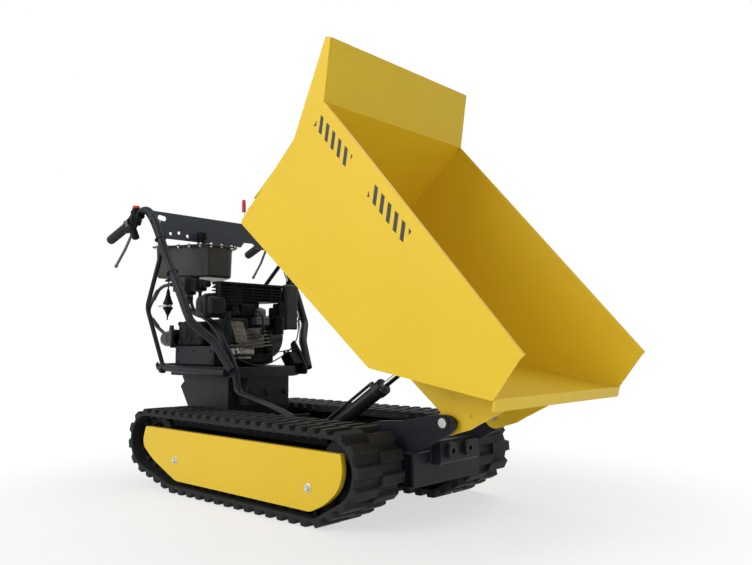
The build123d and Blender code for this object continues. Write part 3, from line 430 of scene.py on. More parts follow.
def make_finishes(colours):
    """Every finish of the machine: its slot, two colours, roughness and span, patch, grain and bump."""
    y, p, r = colours.enamel, colours.powder, colours.rubber
    # The colour after the bump, where given, is a painted edge highlight laid on rounded edges; the share
    # after it sets its strength.
    finish("enamel", "yellow_paint", y, (y[0] * 0.965, y[1] * 0.955, y[2] * 0.9), 0.43, 0.05, 3.2, 420, 0.05,
           (0.90, 0.72, 0.17), 0.40, specular=0.38, distance=0.0003)
    finish("powder_coat", "black_paint", p, (p[0] * 1.5, p[1] * 1.5, p[2] * 1.5), 0.46, 0.07, 6, 1300, 0.16,
           (0.10, 0.11, 0.12), 0.6, specular=0.18)
    # The panel's black paint, painted lighter and bluish as if lit by the bluish front lamp: a lit copy of
    # the powder coat.
    finish("panel_coat", "black_paint", (0.034, 0.044, 0.062), (0.043, 0.054, 0.074), 0.44, 0.06, 6, 1300,
           0.12, (0.16, 0.17, 0.18), 0.6, specular=0.30)
    finish("tank_coat", "grey_paint", (0.021, 0.0205, 0.020), (0.032, 0.031, 0.030), 0.38, 0.06, 6, 1100,
           0.12, (0.16, 0.16, 0.16), 0.6, specular=0.34)
    finish("track_rubber", "track_rubber", r, (r[0] * 1.9, r[1] * 1.9, r[2] * 1.85), 0.64, 0.09, 14, 700,
           0.25, (0.085, 0.085, 0.083), 0.9, specular=0.16, distance=0.0005)
    finish("grip_rubber", "grip_rubber", (0.010, 0.010, 0.011), (0.018, 0.018, 0.019), 0.62, 0.08, 18, 1600,
           0.2, specular=0.3)
    finish("hose_rubber", "track_rubber", (0.009, 0.009, 0.010), (0.017, 0.017, 0.018), 0.42, 0.08, 22, 1500,
           0.2, specular=0.24)
    finish("wheel_casting", "grey_casting", (0.020, 0.0205, 0.022), (0.034, 0.035, 0.036), 0.55, 0.1, 12, 500,
           0.3, (0.22, 0.22, 0.22), 0.5, specular=0.3)
    finish("zinc", "zinc_steel", (0.58, 0.58, 0.56), (0.68, 0.67, 0.63), 0.34, 0.09, 40, 1500, 0.08,
           metal=1.0)
    finish("chrome", "chromed_rod", (0.78, 0.79, 0.80), (0.84, 0.85, 0.86), 0.20, 0.04, 30, 2200, 0.02,
           metal=1.0)
    finish("barrel_paint", "black_paint", (0.010, 0.011, 0.013), (0.018, 0.019, 0.022), 0.30, 0.06, 8, 900,
           0.08, (0.12, 0.12, 0.13), specular=0.4)
    finish("crank_casting", "engine_alloy", (0.0075, 0.0075, 0.0075), (0.016, 0.0155, 0.015), 0.50, 0.1, 22,
           700, 0.35, (0.11, 0.11, 0.11), 0.6, specular=0.08, distance=0.0006)
    finish("valve_casting", "engine_alloy", (0.013, 0.0135, 0.015), (0.026, 0.027, 0.029), 0.44, 0.1, 22, 900,
           0.3, (0.22, 0.22, 0.22), 0.6, specular=0.35, distance=0.0005)
    finish("fin_alloy", "engine_alloy", (0.060, 0.057, 0.049), (0.115, 0.110, 0.094), 0.42, 0.1, 30, 900, 0.2,
           (0.5, 0.49, 0.45), 0.7, 0.6)
    finish("cap_alloy", "engine_alloy", (0.13, 0.127, 0.118), (0.24, 0.234, 0.22), 0.34, 0.1, 40, 900, 0.15,
           (0.72, 0.71, 0.68), 0.7, 0.85)
    finish("guard_metal", "engine_alloy", (0.040, 0.038, 0.032), (0.15, 0.142, 0.12), 0.40, 0.1, 90, 900,
           0.15, (0.45, 0.43, 0.36), 0.7, 0.6)
    finish("carburettor_alloy", "engine_alloy", (0.050, 0.054, 0.074), (0.075, 0.080, 0.10), 0.40, 0.08, 25,
           900, 0.2, (0.34, 0.35, 0.38), 0.6, 0.3)
    finish("zinc_dark", "zinc_steel", (0.09, 0.09, 0.09), (0.15, 0.148, 0.14), 0.40, 0.1, 40, 1500, 0.1,
           metal=0.8)
    finish("engine_plastic", "black_plastic", (0.0050, 0.0052, 0.0056), (0.0085, 0.0088, 0.0094), 0.46, 0.08,
           20, 1400, 0.15, (0.045, 0.047, 0.050), 0.6, specular=0.07)
    finish("filter_grey", "grey_casting", (0.0085, 0.0092, 0.0098), (0.015, 0.016, 0.017), 0.38, 0.08, 16,
           1200, 0.12, (0.09, 0.09, 0.09), 0.5, specular=0.16)
    finish("silencer_steel", "engine_alloy", (0.022, 0.023, 0.020), (0.034, 0.035, 0.031), 0.46, 0.1, 25, 900,
           0.2, (0.14, 0.14, 0.13), 0.35, 0.2, 0.22)
    finish("knob_red", "red_plastic", (0.56, 0.010, 0.014), (0.62, 0.020, 0.022), 0.30, 0.06, 20, 1200, 0.05)
    finish("stripe_film", "black_paint", (0.008, 0.008, 0.008), (0.014, 0.014, 0.014), 0.42, 0.06, 12, 1200,
           0.04)


class DUMPER_OT_finishes(bpy.types.Operator):
    """Makes the paints, rubbers and metals"""

    bl_idname = "dumper.finishes"
    bl_label = "Finishes"

    def execute(self, context):
        make_finishes(context.scene.dumper_colours)
        return {"FINISHED"}


class DUMPER_OT_plain_skins(bpy.types.Operator):
    """Skins the pieces whose CAD shape needs only rounded edges and a finish"""

    bl_idname = "dumper.plain_skins"
    bl_label = "Plain skins"

    ROWS = (  # node, or the start of a pair's names; finish; edge rounding in mm
        ("track_frame_", "powder_coat", 0.9),
        ("track_rollers_", "wheel_casting", 1.0),
        ("front_idler_", "wheel_casting", 1.5),
        ("drive_sprocket_", "wheel_casting", 1.0),
        ("chassis_frame", "powder_coat", 1.2),
        ("front_plate", "powder_coat", 1.2),
        ("final_drive", "wheel_casting", 1.5),
        ("cylinder_mount", "powder_coat", 1.0),
        ("engine_deck", "powder_coat", 1.0),
        ("deck_pedestal", "powder_coat", 0.9),
        ("guard_loop", "powder_coat", 0),
        ("bar_brackets", "powder_coat", 1.0),
        ("handlebar_", "powder_coat", 0),
        ("handlebar_struts", "powder_coat", 0),
        ("hand_levers", "zinc_dark", 0.8),
        ("control_panel", "panel_coat", 0.8),
        ("tip_lever", "zinc", 0.8),
        ("cable_box", "engine_plastic", 0.8),
        ("skip_brackets", "enamel", 1.0),
        ("rod_lugs", "enamel", 1.0),
        ("cylinder_barrel", "barrel_paint", 0.8),
        ("cylinder_rod", "chrome", 0.6),
    )

    def execute(self, context):
        for node, coat, edge in self.ROWS:
            for end in ("right", "left") if node.endswith("_") else ("",):
                skin(node + end, coat, edge)
        return {"FINISHED"}


# Tracks

class DUMPER_OT_tracks(bpy.types.Operator):
    """Skins the rubber tracks"""

    bl_idname = "dumper.tracks"
    bl_label = "Rubber tracks"

    def execute(self, context):
        for _, hand in SIDES:
            skin("track_belt_" + hand, "track_rubber", context.scene.dumper_sizes.lug_edge / MM)
        return {"FINISHED"}


def belt_path():
    """The middles and angles of one side's guide lugs, once round the belt, in mm."""
    pairs = list(zip(WHEELS, WHEELS[1:] + WHEELS[:1]))
    leave = [atan2(nz - z, nx - x) - acos((r - nr) / hypot(nx - x, nz - z))
             for (x, z, r), (nx, nz, nr) in pairs]
    path = []
    for i, ((x, z, r), after) in enumerate(pairs):
        arrive, a = leave[i - 1], leave[i]
        turn = (a - arrive) % (2 * pi)
        path += [(x + r * cos(b), z + r * sin(b), b)
                 for b, in between((arrive,), (arrive + turn,), LUG_PITCH / r)]
        start, end = [(px + pr * cos(a), pz + pr * sin(a)) for px, pz, pr in ((x, z, r), after)]
        path += [(*point, a) for point in between(start, end, LUG_PITCH)]
    return path


class DUMPER_OT_track_details(bpy.types.Operator):
    """Sets the guide lugs and the slide rail along the inside of each track"""

    bl_idname = "dumper.track_details"
    bl_label = "Track guide lugs"

    RAIL = ((-462, 229.5), (-480, 214), (-480, 200), (262, 200), (262, 214), (244, 229.5))

    def execute(self, context):
        for side, hand in SIDES:
            lug = turned(((-1, 17), (3, 16), (11, 10), (13, 8)), sides=4)
            lug.data.transform(Matrix.Rotation(radians(45), 4, "Z"))
            lug.data.transform(Matrix.Diagonal((0.75, 0.45, 1, 1)))
            soften(lug, 1.2)
            places = []
            for x, z, angle in belt_path():
                s, c = sin(angle), cos(angle)
                inward = Matrix(((-s, 0, -c, 0), (0, 1, 0, 0), (c, 0, -s, 0), (0, 0, 0, 1)))
                places += [at(x, side * y, z) @ inward for y in (201.5, 299.5)]
            fit("guide_lugs_" + hand, [outwards(copies(lug, places))], "track_rubber")
        for side, hand in SIDES:
            rail = sheet(self.RAIL, 56, at(0, side * 250.5 + 28, 0) @ STAND, edge=2.0)
            fit("slide_rail_" + hand, [rail], "engine_plastic")
        return {"FINISHED"}


class DUMPER_OT_covers(bpy.types.Operator):
    """Presses the two side covers, hollow trays with a rounded front"""

    bl_idname = "dumper.covers"
    bl_label = "Side covers"

    OUTLINE = (  # x, z and the corner's radius
        (-567, 196, 8), (-582, 152, 12), (-576, 128, 12), (-520, 92, 20), (-384, 38, 14), (247, 38, 10),
        (302, 63, 16), (350, 102, 22), (367, 150, 20), (358, 196, 3))
    DEPTH, WALL = 16, 3

    def execute(self, context):
        for side, hand in SIDES:
            cover = sheet([(x, z) for x, z, _ in self.OUTLINE], self.DEPTH,
                          at(0, side * COVER_FACE, 0) @ STAND @ at(0, 0, -self.DEPTH if side < 0 else 0))
            edit(cover)
            for x, z, radius in self.OUTLINE:
                def at_corner(edge):
                    middle = (edge.verts[0].co + edge.verts[1].co) / 2
                    return abs(middle.x - x * MM) < MM and abs(middle.z - z * MM) < MM
                pick("edges", at_corner)
                bpy.ops.mesh.bevel(offset=radius * MM, segments=7, affect="EDGES", clamp_overlap=True)
            pick("faces", lambda face: face.normal.y * side < -0.9)
            bpy.ops.mesh.inset(thickness=self.WALL * MM)
            bpy.ops.mesh.inset(thickness=0.05 * MM, depth=(self.WALL - self.DEPTH) * MM)
            rest()
            soften(cover, 1.4, 3)
            posts = [turned(((3, 8), (30, 8)), (x, side * COVER_FACE, z), (0, -side, 0), 18)
                     for x, z in ((-386, 102), (239, 98))]
            fit("cover_" + hand, [cover, *posts], "enamel", "track_cover_" + hand)
        return {"FINISHED"}


# Skip

class DUMPER_OT_skip(bpy.types.Operator):
    """Skins the skip"""

    bl_idname = "dumper.skip"
    bl_label = "Skip"

    def execute(self, context):
        skin("skip_shell", "enamel", context.scene.dumper_sizes.sheet_edge / MM)
        return {"FINISHED"}


class DUMPER_OT_skip_details(bpy.types.Operator):
    """Lays the weld beads inside and under the skip"""

    bl_idname = "dumper.skip_details"
    bl_label = "Skip welds"

    UNDER = ((548, -1.5), (674, -1.5), (968, 161.5))
    ROUTES = ((SHEET_Y, ((6, 60), (6, 6), (60, 5), (676, 5), (760, 52), (984, 176))),
              (SHEET_Y, ((8, 90), (97, 449), (14, 596))), (98.5, UNDER), (113.5, UNDER))

    def execute(self, context):
        beads = []
        for side, _ in SIDES:
            for y, route in self.ROUTES:
                places = [skip_place(u, v, side * y).translation / MM for u, v in route]
                beads.append(line(places, context.scene.dumper_sizes.bead, 8, order=2))
        fit("skip_welds", beads, "enamel", body="skip")
        return {"FINISHED"}


class DUMPER_OT_stripes(bpy.types.Operator):
    """Lays the two groups of slanted stripes on each side of the skip"""

    bl_idname = "dumper.stripes"
    bl_label = "Stripes"

    BAR = ((0, 0), (14.6, -0.9), (37.2, -42.2), (22.7, -41.4))
    GROUPS = ((113.9, 417.4, 33.9), (406.2, 369.8, 32.9))
    FALL = 0.163
    ENDS = (
        ((108.6, 396.8), (116.6, 385.3), (107.4, 379.2)), ((282.8, 389.3), (291.8, 387.6), (291.4, 377.0)),
        ((399.1, 346.8), (410.5, 334.2), (402.4, 331.5)), ((568.7, 343.3), (580.6, 341.3), (577.9, 330.2)))

    def execute(self, context):
        for side, hand in SIDES:
            face, depth = side * SKIP_FACE, -side * context.scene.dumper_sizes.film / MM
            places = [skip_place(u + i * step, v - i * step * self.FALL, face)
                      for u, v, step in self.GROUPS for i in range(5)]
            pieces = [copies(sheet(self.BAR, depth, STAND), places)]
            pieces += [sheet(end, depth, skip_place(0, 0, face) @ STAND) for end in self.ENDS]
            fit("stripes_" + hand, [outwards(joined(pieces))], "stripe_film", body="skip")
        return {"FINISHED"}


# Fastenings, arms and welds

def hex_bolt(radius, washer, height):
    """A hexagon bolt head on its washer, seated on Z = 0."""
    disc = turned(((0, washer * 0.97), (0.5, washer), (1.4, washer), (1.8, washer * 0.94)), sides=20)
    head = turned(((1.6, radius), (height - 1.0, radius), (height - 0.2, radius * 0.86),
                   (height, radius * 0.62), (height - 0.5, radius * 0.5)), sides=6)
    return joined([disc, head])


def socket_screws(radius, points, direction):
    """Round cap screws with their key holes, seated on these points."""
    screw = turned(((0, radius), (3.2, radius), (4, radius * 0.8), (4, radius * 0.45), (1.8, radius * 0.42)),
                   sides=18)
    return copies(screw, [towards(point, direction) for point in points])


def sideways(points):
    """Places that face away from the machine's middle, each turned a little more."""
    return [towards(p, (0, copysign(1, p[1]), 0), 12 + 23 * i) for i, p in enumerate(points)]


class DUMPER_OT_bolts(bpy.types.Operator):
    """Sets the bolts of the covers, brackets, deck, pedestal, panel and arms"""

    bl_idname = "dumper.bolts"
    bl_label = "Bolts"

    COVER = ((-386, -COVER_FACE, 102), (239, -COVER_FACE, 98))
    BRACKET = ((-314, -158.2, 384), (-344, -158.2, 396), (-369, -158.2, 452))
    DECK = ((-405, -152, 380), (-520, -152, 380), (-640, -152, 380))
    ARM = ((250, -131.2, 150), (420, -131.2, 165), (330, -131.2, 150))

    def execute(self, context):
        for name, size, places, coat, slot in (
            ("cover", (8, 12.5, 8.6), sideways(both(self.COVER)), "zinc", None),
            ("deck", (6.5, 9.5, 5.5), sideways(both(self.BRACKET) + both(self.DECK)), "powder_coat",
             "zinc_steel"),
            ("pedestal", (10, 14, 10), [towards((-330, y, 305), FORWARDS, 30) for y in (-5, 77, -72)],
             "powder_coat", None),
            ("panel", (5, 8, 4.5), [towards((-616.8, y, 905), FORWARDS, 20) for y in (-272, 272)],
             "zinc", None),
            ("arm", (7, 11, 6), sideways(both(self.ARM)), "powder_coat", None),
        ):
            fit(name + "_bolts", [copies(hex_bolt(*size), places)], coat, slot=slot)
        return {"FINISHED"}


class DUMPER_OT_arms(bpy.types.Operator):
    """Cuts the two arms and turns their tipping pins"""

    bl_idname = "dumper.arms"
    bl_label = "Arms and pins"

    OUTLINE = ((191, 111), (199, 197), (208, 210), (250, 243), (305, 260), (392, 267), (444, 276), (478, 285),
               (515, 290), (536, 291), (552, 289), (564, 282), (570, 272), (568, 261), (560, 250), (542, 237),
               (510, 222), (480, 206), (456, 194), (437, 190), (437, 111))

    def execute(self, context):
        pins = []
        for side, hand in SIDES:
            plate = sheet(self.OUTLINE, 12, at(0, side * 126, 0) @ STAND @ at(0, 0, -6), edge=1.0)
            fit("arm_" + hand, [plate], "powder_coat", "tip_arm_" + hand)
            eye, out = (HINGE[0], side * 132, HINGE[2]), (0, side, 0)
            pins.append(turned(((-40, 12), (2, 12), (2.4, 12.8), (6.2, 12.8), (7, 11.6), (7, 4)), eye, out))
            washer = turned(((0, 12.2), (0, 18), (0.6, 18.6), (2.6, 18.6), (3.2, 18), (3.2, 13)), eye, out)
            fit("washer_" + hand, [washer], "powder_coat")
        fit("tipping_pins", pins, "zinc", "pivot_pins")
        return {"FINISHED"}


class DUMPER_OT_plugs(bpy.types.Operator):
    """Presses a blanking plug into the panel's slot and into the skip's bracket holes"""

    bl_idname = "dumper.plugs"
    bl_label = "Plugs"

    def execute(self, context):
        fit("panel_plug", blocks((-619.9, -117.8, 860.2, -617.2, -106.2, 903.8, 1.2)), "panel_coat")
        disc = turned(((-3, 2), (-3, 4.7), (3, 4.7), (3, 2)), sides=18)
        disc.data.transform(STAND)
        places = [skip_place(u, v, y) for u, v in ((807, 8), (880, 7)) for y in (-106, 106)]
        fit("bracket_plugs", [copies(disc, places)], "enamel", body="skip")
        return {"FINISHED"}


class DUMPER_OT_frame_welds(bpy.types.Operator):
    """Lays the weld beads of the frame and sets the loop's clamps"""

    bl_idname = "dumper.frame_welds"
    bl_label = "Frame welds"

    def execute(self, context):
        runs = [[(448.6, -78.5, z) for z in (153, 213)]]
        for side, _ in SIDES:
            runs += [[(x, side * 135.8, 190.8) for x in (-600, -500, -383)],
                     [(x, side * 120, 191) for x in (236, 438)], [(448.5, side * y, 156) for y in (-77, 95)]]
        fit("frame_welds", [line(run, 2.2 * MM, 8, order=2) for run in runs], "powder_coat")
        clamps = []
        for side, _ in SIDES:
            for x in (-774, -733):
                nut = turned(((10, 7), (20, 7), (21, 5.5), (21, 4), (26, 3.6)), sides=6)
                clamps.append(copies(nut, [towards((x, side * 168, 377), UP, 15)]))
            clamps.append(turned(((-8, 12.6), (-7, 13.8), (7, 13.8), (8, 12.6)), (-742, side * 166, 376),
                                 (1, 0, 0.03), 28))
        fit("loop_clamps", clamps, "powder_coat")
        return {"FINISHED"}


# Hoses and cables

def sleeve(start, end, radius):
    """A crimped hose end between two points in mm."""
    reach = Vector(end) - Vector(start)
    h = reach.length
    profile = [(0, radius * 0.8), (0.6, radius),
               *ribbed(h * 0.12, h * 0.12, 5, (0, radius), (1, radius * 0.9), (3, radius * 0.9), (4, radius)),
               (h * 0.86, radius), (h * 0.9, radius * 0.86), (h, radius * 0.82)]
    return turned(profile, start, reach, 20)


class DUMPER_OT_hoses(bpy.types.Operator):
    """Runs the hydraulic hoses with their crimped ends"""

    bl_idname = "dumper.hoses"
    bl_label = "Hydraulic hoses"

    TIP = (  # x, y and z of the two hoses' middle, and the share of their spacing
        (-622, -138, 650, 1), (-622, -138, 606, 1), (-560, -142, 574, 1), (-500, -146, 566, 1),
        (-420, -148, 520, 1), (-386, -150, 476, 1), (-350, -152, 430, 1), (-327, -148, 396, 0.8),
        (-322, -142, 350, 0.8), (-319, -138, 310, 1), (-268, -136, 298, 1), (-180, -132, 280, 1),
        (-118, -110, 254, 1), (-84, -96, 236, 1), (-42, -96, 236, 1))
    PUMP = ((-682, -152, 688), (-730, -152, 694), (-792, -154, 684), (-838, -156, 640), (-870, -158, 594),
            (-846, -144, 552), (-828, -132, 528), (-796, -124, 508))

    def execute(self, context):
        radius = context.scene.dumper_sizes.hose
        for number, shift in ((1, -9.0), (2, 9.0)):
            route = [(x, y + shift * share, z) for x, y, z, share in self.TIP]
            fit(f"tip_hose_{number}", [line(route, radius, 16)], "hose_rubber",
                *(["tip_hoses"] if number == 1 else []))
            ends = [sleeve(route[0], (-622, -138 + shift, 616), radius / MM * 1.28),
                    sleeve(route[-1], (-76, -96 + shift, 236), radius / MM * 1.28)]
            fit(f"tip_hose_ends_{number}", ends, "zinc_dark")
        fit("pump_hose_run", [line(self.PUMP, radius, 16)], "hose_rubber", "pump_hose")
        ends = [sleeve((-806, -154.8, 672), (-838, -156.2, 636), radius / MM * 1.3),
                sleeve((-852, -149, 566), (-830, -134, 533), radius / MM * 1.3)]
        fit("pump_hose_ends", ends, "valve_casting", slot="zinc_steel")
        return {"FINISHED"}


class DUMPER_OT_cables(bpy.types.Operator):
    """Runs the thin control cables along the bars and to the small box on the deck"""

    bl_idname = "dumper.cables"
    bl_label = "Control cables"

    BAR = ((-312, -172, 384), (-374, -200, 480), (-428, -258, 548), (-483, -266, 655),
           (-559, -275, 781), (-612, -286, 900), (-656, -299, 958), (-700, -311, 926))
    LOOPS = (
        ((-356, 160, 560), (-350, 156, 524), (-350, 150, 492), (-350, 128, 458), (-350, 83, 428),
         (-350, 23, 402), (-350, -31, 394), (-350, -87, 406), (-362, -124, 430), (-420, -104, 436)),
        ((-352, 152, 452), (-350, 130, 452), (-350, 68, 443), (-352, 13, 434), (-362, -20, 418),
         (-420, -30, 430)))

    def execute(self, context):
        routes = list(self.LOOPS)
        for side in (1, -1):
            tail = [(-702, side * -306, 930), (-706, side * -307, 905)]
            routes.append([(-352, side * -150, 422), (-352, side * -186, 440),
                           *((x - 15, side * (y + 8), z - 10) for x, y, z in self.BAR[1:-1]), *tail])
            routes.append([(-470, side * -244, 565),
                           *((x - 19, side * (y - 2), z - 6) for x, y, z in self.BAR[2:-1]), *tail])
        radius = context.scene.dumper_sizes.cable
        fit("control_cables", [line(route, radius, 8) for route in routes], "hose_rubber")
        ties = [turned(((-2, 19.5), (-2, 20.5), (2, 20.5), (2, 19.5)),
                       ((x + nx) / 2 - 5, side * ((y + ny) / 2 + 2), (z + nz) / 2 - 3),
                       (nx - x, side * (ny - y), nz - z), 24)
                for side in (1, -1) for (x, y, z), (nx, ny, nz) in zip(self.BAR[3:5], self.BAR[4:6])]
        fit("cable_ties", ties, "engine_plastic")
        return {"FINISHED"}


# Handlebars

GRIP_END = Vector((-867, -318, 857))
GRIP_RUN = Vector((145, 6, 52)).normalized()


class DUMPER_OT_grips(bpy.types.Operator):
    """Turns the ribbed grips and builds the lever mounts, the switch housing and the button"""

    bl_idname = "dumper.grips"
    bl_label = "Grips and switches"

    def execute(self, context):
        ribs = context.scene.dumper_sizes.grip_ribs
        pitch = 104 / ribs
        grip = [(-8, 11), (-7.2, 13.5), (-5, 15.6), (-1, 16.6), (4, 16.8),
                *ribbed(8, pitch, ribs, (0, 15.2), (0.6, 14.9), (pitch * 0.30, 14.9), (pitch * 0.42, 16.9),
                        (pitch * 0.80, 16.9)),
                (114, 15.6), (120, 15.8), (122, 21.4), (124, 22), (127.4, 22), (128.6, 21.2), (129, 15)]
        boot = [(0, 5)]
        for i in range(7):
            boot += [(2 + i * 6, 7.5 + i * 0.5), (4 + i * 6, 10.5 + i * 0.45), (6 + i * 6, 10.5 + i * 0.45)]
        boot.append((46, 8))
        grips, mounts = [], []
        for side, _ in SIDES:
            run = across(GRIP_RUN, side)
            grips.append(turned(grip, across(GRIP_END, side), run, 28))
            x, y, z = centre = across(GRIP_END + GRIP_RUN * 143, side)
            loop = [(x + 18 + 30 * cos(a), side * (316 - 3 * sin(a)), z + 2 + 30 * sin(a))
                    for a in (radians(45 * k) for k in range(8))]
            mounts += [
                turned(((-9, 19), (-8, 20.5), (-2, 20.5), (-1.2, 19), (1.2, 19), (2, 20.5), (8, 20.5),
                        (9, 19)), centre, run, 24),
                *blocks((x - 30, side * 320 - 9, z - 36, x + 30, side * 320 + 9, z - 8, 6, 4)),
                line(loop, 6.5 * MM, cyclic=True),
                turned(((0, 14), (90, 14)), across(GRIP_END + GRIP_RUN * 120, side), run, 20),
                turned(boot, (x + 22, side * 316, z - 20), (0.45, 0, -0.89), 18)]
        fit("ribbed_grips", grips, "grip_rubber", "handle_grips")
        fit("lever_mounts", mounts, "engine_plastic")

        housing, = blocks((-719, -326, 894, -690, -296, 950, 5, 3))
        pressed(housing, lambda face: face.normal.y < -0.9, 4, -1.5)
        ring = turned(((-10, 19), (-9, 20.5), (9, 20.5), (10, 19)), (-706, -311, 914), GRIP_RUN)
        collar = turned(((0, 13), (1, 14), (5, 14), (6.5, 12.4)), (-704, -311, 949))
        fit("switch_housing", [housing, ring, collar], "engine_plastic", "switch_box")
        button = turned(((0, 8), (2, 8), (3, 12.2), (5.5, 13), (9, 13), (11.5, 11.5), (12.6, 8.5), (12.8, 4)),
                        (-704, -311, 953), UP, 28)
        knob = turned(((0, 6), (1.5, 7.4), (8, 7.9), (30, 8), (44, 7.8), (49, 6.8), (51.5, 4.6), (52, 2)),
                      (-644, 122, 992), (-3, 0.5, 52), 24)
        fit("red_knob_pair", [button, knob], "knob_red", "red_knobs")
        return {"FINISHED"}


# Oil tank and valve

class DUMPER_OT_tank(bpy.types.Operator):
    """Builds the pressed oil tank with its flange, bolts and filler"""

    bl_idname = "dumper.tank"
    bl_label = "Oil tank"

    LOW, TOP, MIDDLE, FLANGE = 713, 832, -58, 5
    FILLER = (-588, -110, TOP)

    def plan(self, grow):
        """The tank's corners seen from above, grown by a distance."""
        front, rear, narrow, wide = -545 + grow, -752 - grow, 62 + grow, 150 + grow
        return [(front, self.MIDDLE - narrow), (front, self.MIDDLE + narrow), (rear, self.MIDDLE + wide),
                (rear, self.MIDDLE - wide)]

    def execute(self, context):
        under = self.TOP - self.FLANGE

        def upright(length):
            return lambda e: abs(e.verts[0].co.z - e.verts[1].co.z) > length

        edit(sheet(self.plan(-5), under - self.LOW, at(0, 0, self.LOW)))
        pick("faces", lambda face: face.normal.z > 0.9)
        bpy.ops.transform.resize(value=(1.028, 1.028, 1))
        pick("edges", upright(0.05))
        bpy.ops.mesh.bevel(offset=17 * MM, segments=6, affect="EDGES")
        pick("faces", lambda face: face.normal.z < -0.9)
        bpy.ops.mesh.bevel(offset=9 * MM, segments=4, affect="EDGES")
        tank = settle(angle=50)
        edit(sheet(self.plan(12), self.FLANGE, at(0, 0, under)))
        pick("edges", upright(0.004))
        bpy.ops.mesh.bevel(offset=22 * MM, segments=6, affect="EDGES")
        flange = settle()
        soften(flange, 0.9)
        lid = blocks((-690, -104, self.TOP - 1, -600, -12, self.TOP + 3.2, 3, 3))
        fit("tank_shell", [tank, flange, *lid], "tank_coat", "oil_tank")

        corners = self.plan(5.5)
        points = [point for start, end in zip(corners, corners[1:] + corners[:1])
                  for point in between(start, end, 44, 2)]
        bolts = copies(hex_bolt(4.6, 6.6, 5.4),
                       [towards((*point, self.TOP), UP, 37 * i) for i, point in enumerate(points)])
        nuts = copies(hex_bolt(4.6, 6.0, 5.0),
                      [towards((*point, under), DOWN, 21 * i) for i, point in enumerate(points)])
        fit("tank_bolts", [bolts, nuts], "zinc")
        neck = turned(((0, 15), (1, 16), (12, 16), (14, 14.5), (24, 14.5)), self.FILLER)
        cap = turned([(22, 17), *ribbed(23, 5, 4, (0, 18), (3, 18), (3.5, 16.6), (4.5, 16.6)), (44, 17.5),
                      (47, 15), (48, 9)], self.FILLER, UP, 30)
        fit("filler", [neck, cap], "engine_plastic")
        return {"FINISHED"}


class DUMPER_OT_valve(bpy.types.Operator):
    """Builds the control valve below the tank with its spools, plugs, fittings and linkage boots"""

    bl_idname = "dumper.valve"
    bl_label = "Control valve"

    def execute(self, context):
        pieces = blocks((-678, -172, 661, -602, -104, 713, 4), (-672, -160, 650, -608, -116, 662, 2))
        for z in (676, 697):
            pieces.append(turned(((0, 11), (3, 12), (18, 12), (20, 10), (26, 10), (28, 8)), (-602, -138, z),
                                 FORWARDS, 20))
            pieces.append(turned(((0, 9), (8, 9), (9, 7.5)), (-640, -172, z), RIGHT, 6))
        for x in (-664, -616):
            pieces.append(turned(((0, 8), (10, 8), (11, 6.5), (20, 6.5), (21, 4)), (x, -172, 687), RIGHT, 6))
        pieces.append(turned(((0, 9), (10, 9), (11, 7.4), (24, 7.4)), (-678, -152, 688), BACKWARDS, 6))
        for y in (-147, -129):
            pieces.append(turned(((0, 9.4), (8, 9.4), (9, 8), (20, 8), (21, 9.2), (30, 9.2), (31, 7.6)),
                                 (-622, y, 662), DOWN, 6))
        fit("valve", pieces, "valve_casting", "valve_block")

        fit("rod", [turned(((0, 2.6), (1, 3.2), (78, 3.2), (79, 5), (84, 5), (85, 3)), (-800, -153, 613),
                           FORWARDS, 14)], "zinc")
        boots = [
            turned(((0, 4), (6, 5.5), (20, 8), (22, 7.4), (34, 12), (36, 11.4), (52, 18), (57, 19), (59, 16)),
                   (-741, -150, 676), DOWN, 24),
            turned(((0, 16), (2, 19), (7, 18), (16, 11.4), (17, 12), (30, 5), (36, 3.5)),
                   (-741, -150, 609), DOWN, 24),
            line(((-739, -150, 712), (-741, -150, 664), (-741, -150, 612), (-744, -150, 560)), 3 * MM, 10,
                 order=2)]
        fit("valve_linkage", [*boots, *blocks((-756, -156, 704, -676, -144, 713, 2))], "engine_plastic")
        lumps = [
            *blocks((-612, -152, 662, -560, -100, 704, 6, 3)),
            turned(((0, 13), (4, 14), (22, 14), (26, 10), (40, 10), (41, 13), (50, 13), (52, 9)),
                   (-572, -128, 686), (1, 0.1, 0), 20),
            turned(((0, 9), (8, 9), (9, 6.5), (24, 6.5), (25, 10), (38, 10), (40, 7), (66, 7), (67, 5)),
                   (-560, -132, 664), DOWN, 6),
            turned(((0, 3), (4, 9), (12, 12), (20, 9), (24, 3)), (-536, -126, 676), (0.3, 0, 1), 18)]
        fit("valve_fittings", lumps, "crank_casting")
        return {"FINISHED"}


# Engine, belt guard, pump and cylinder

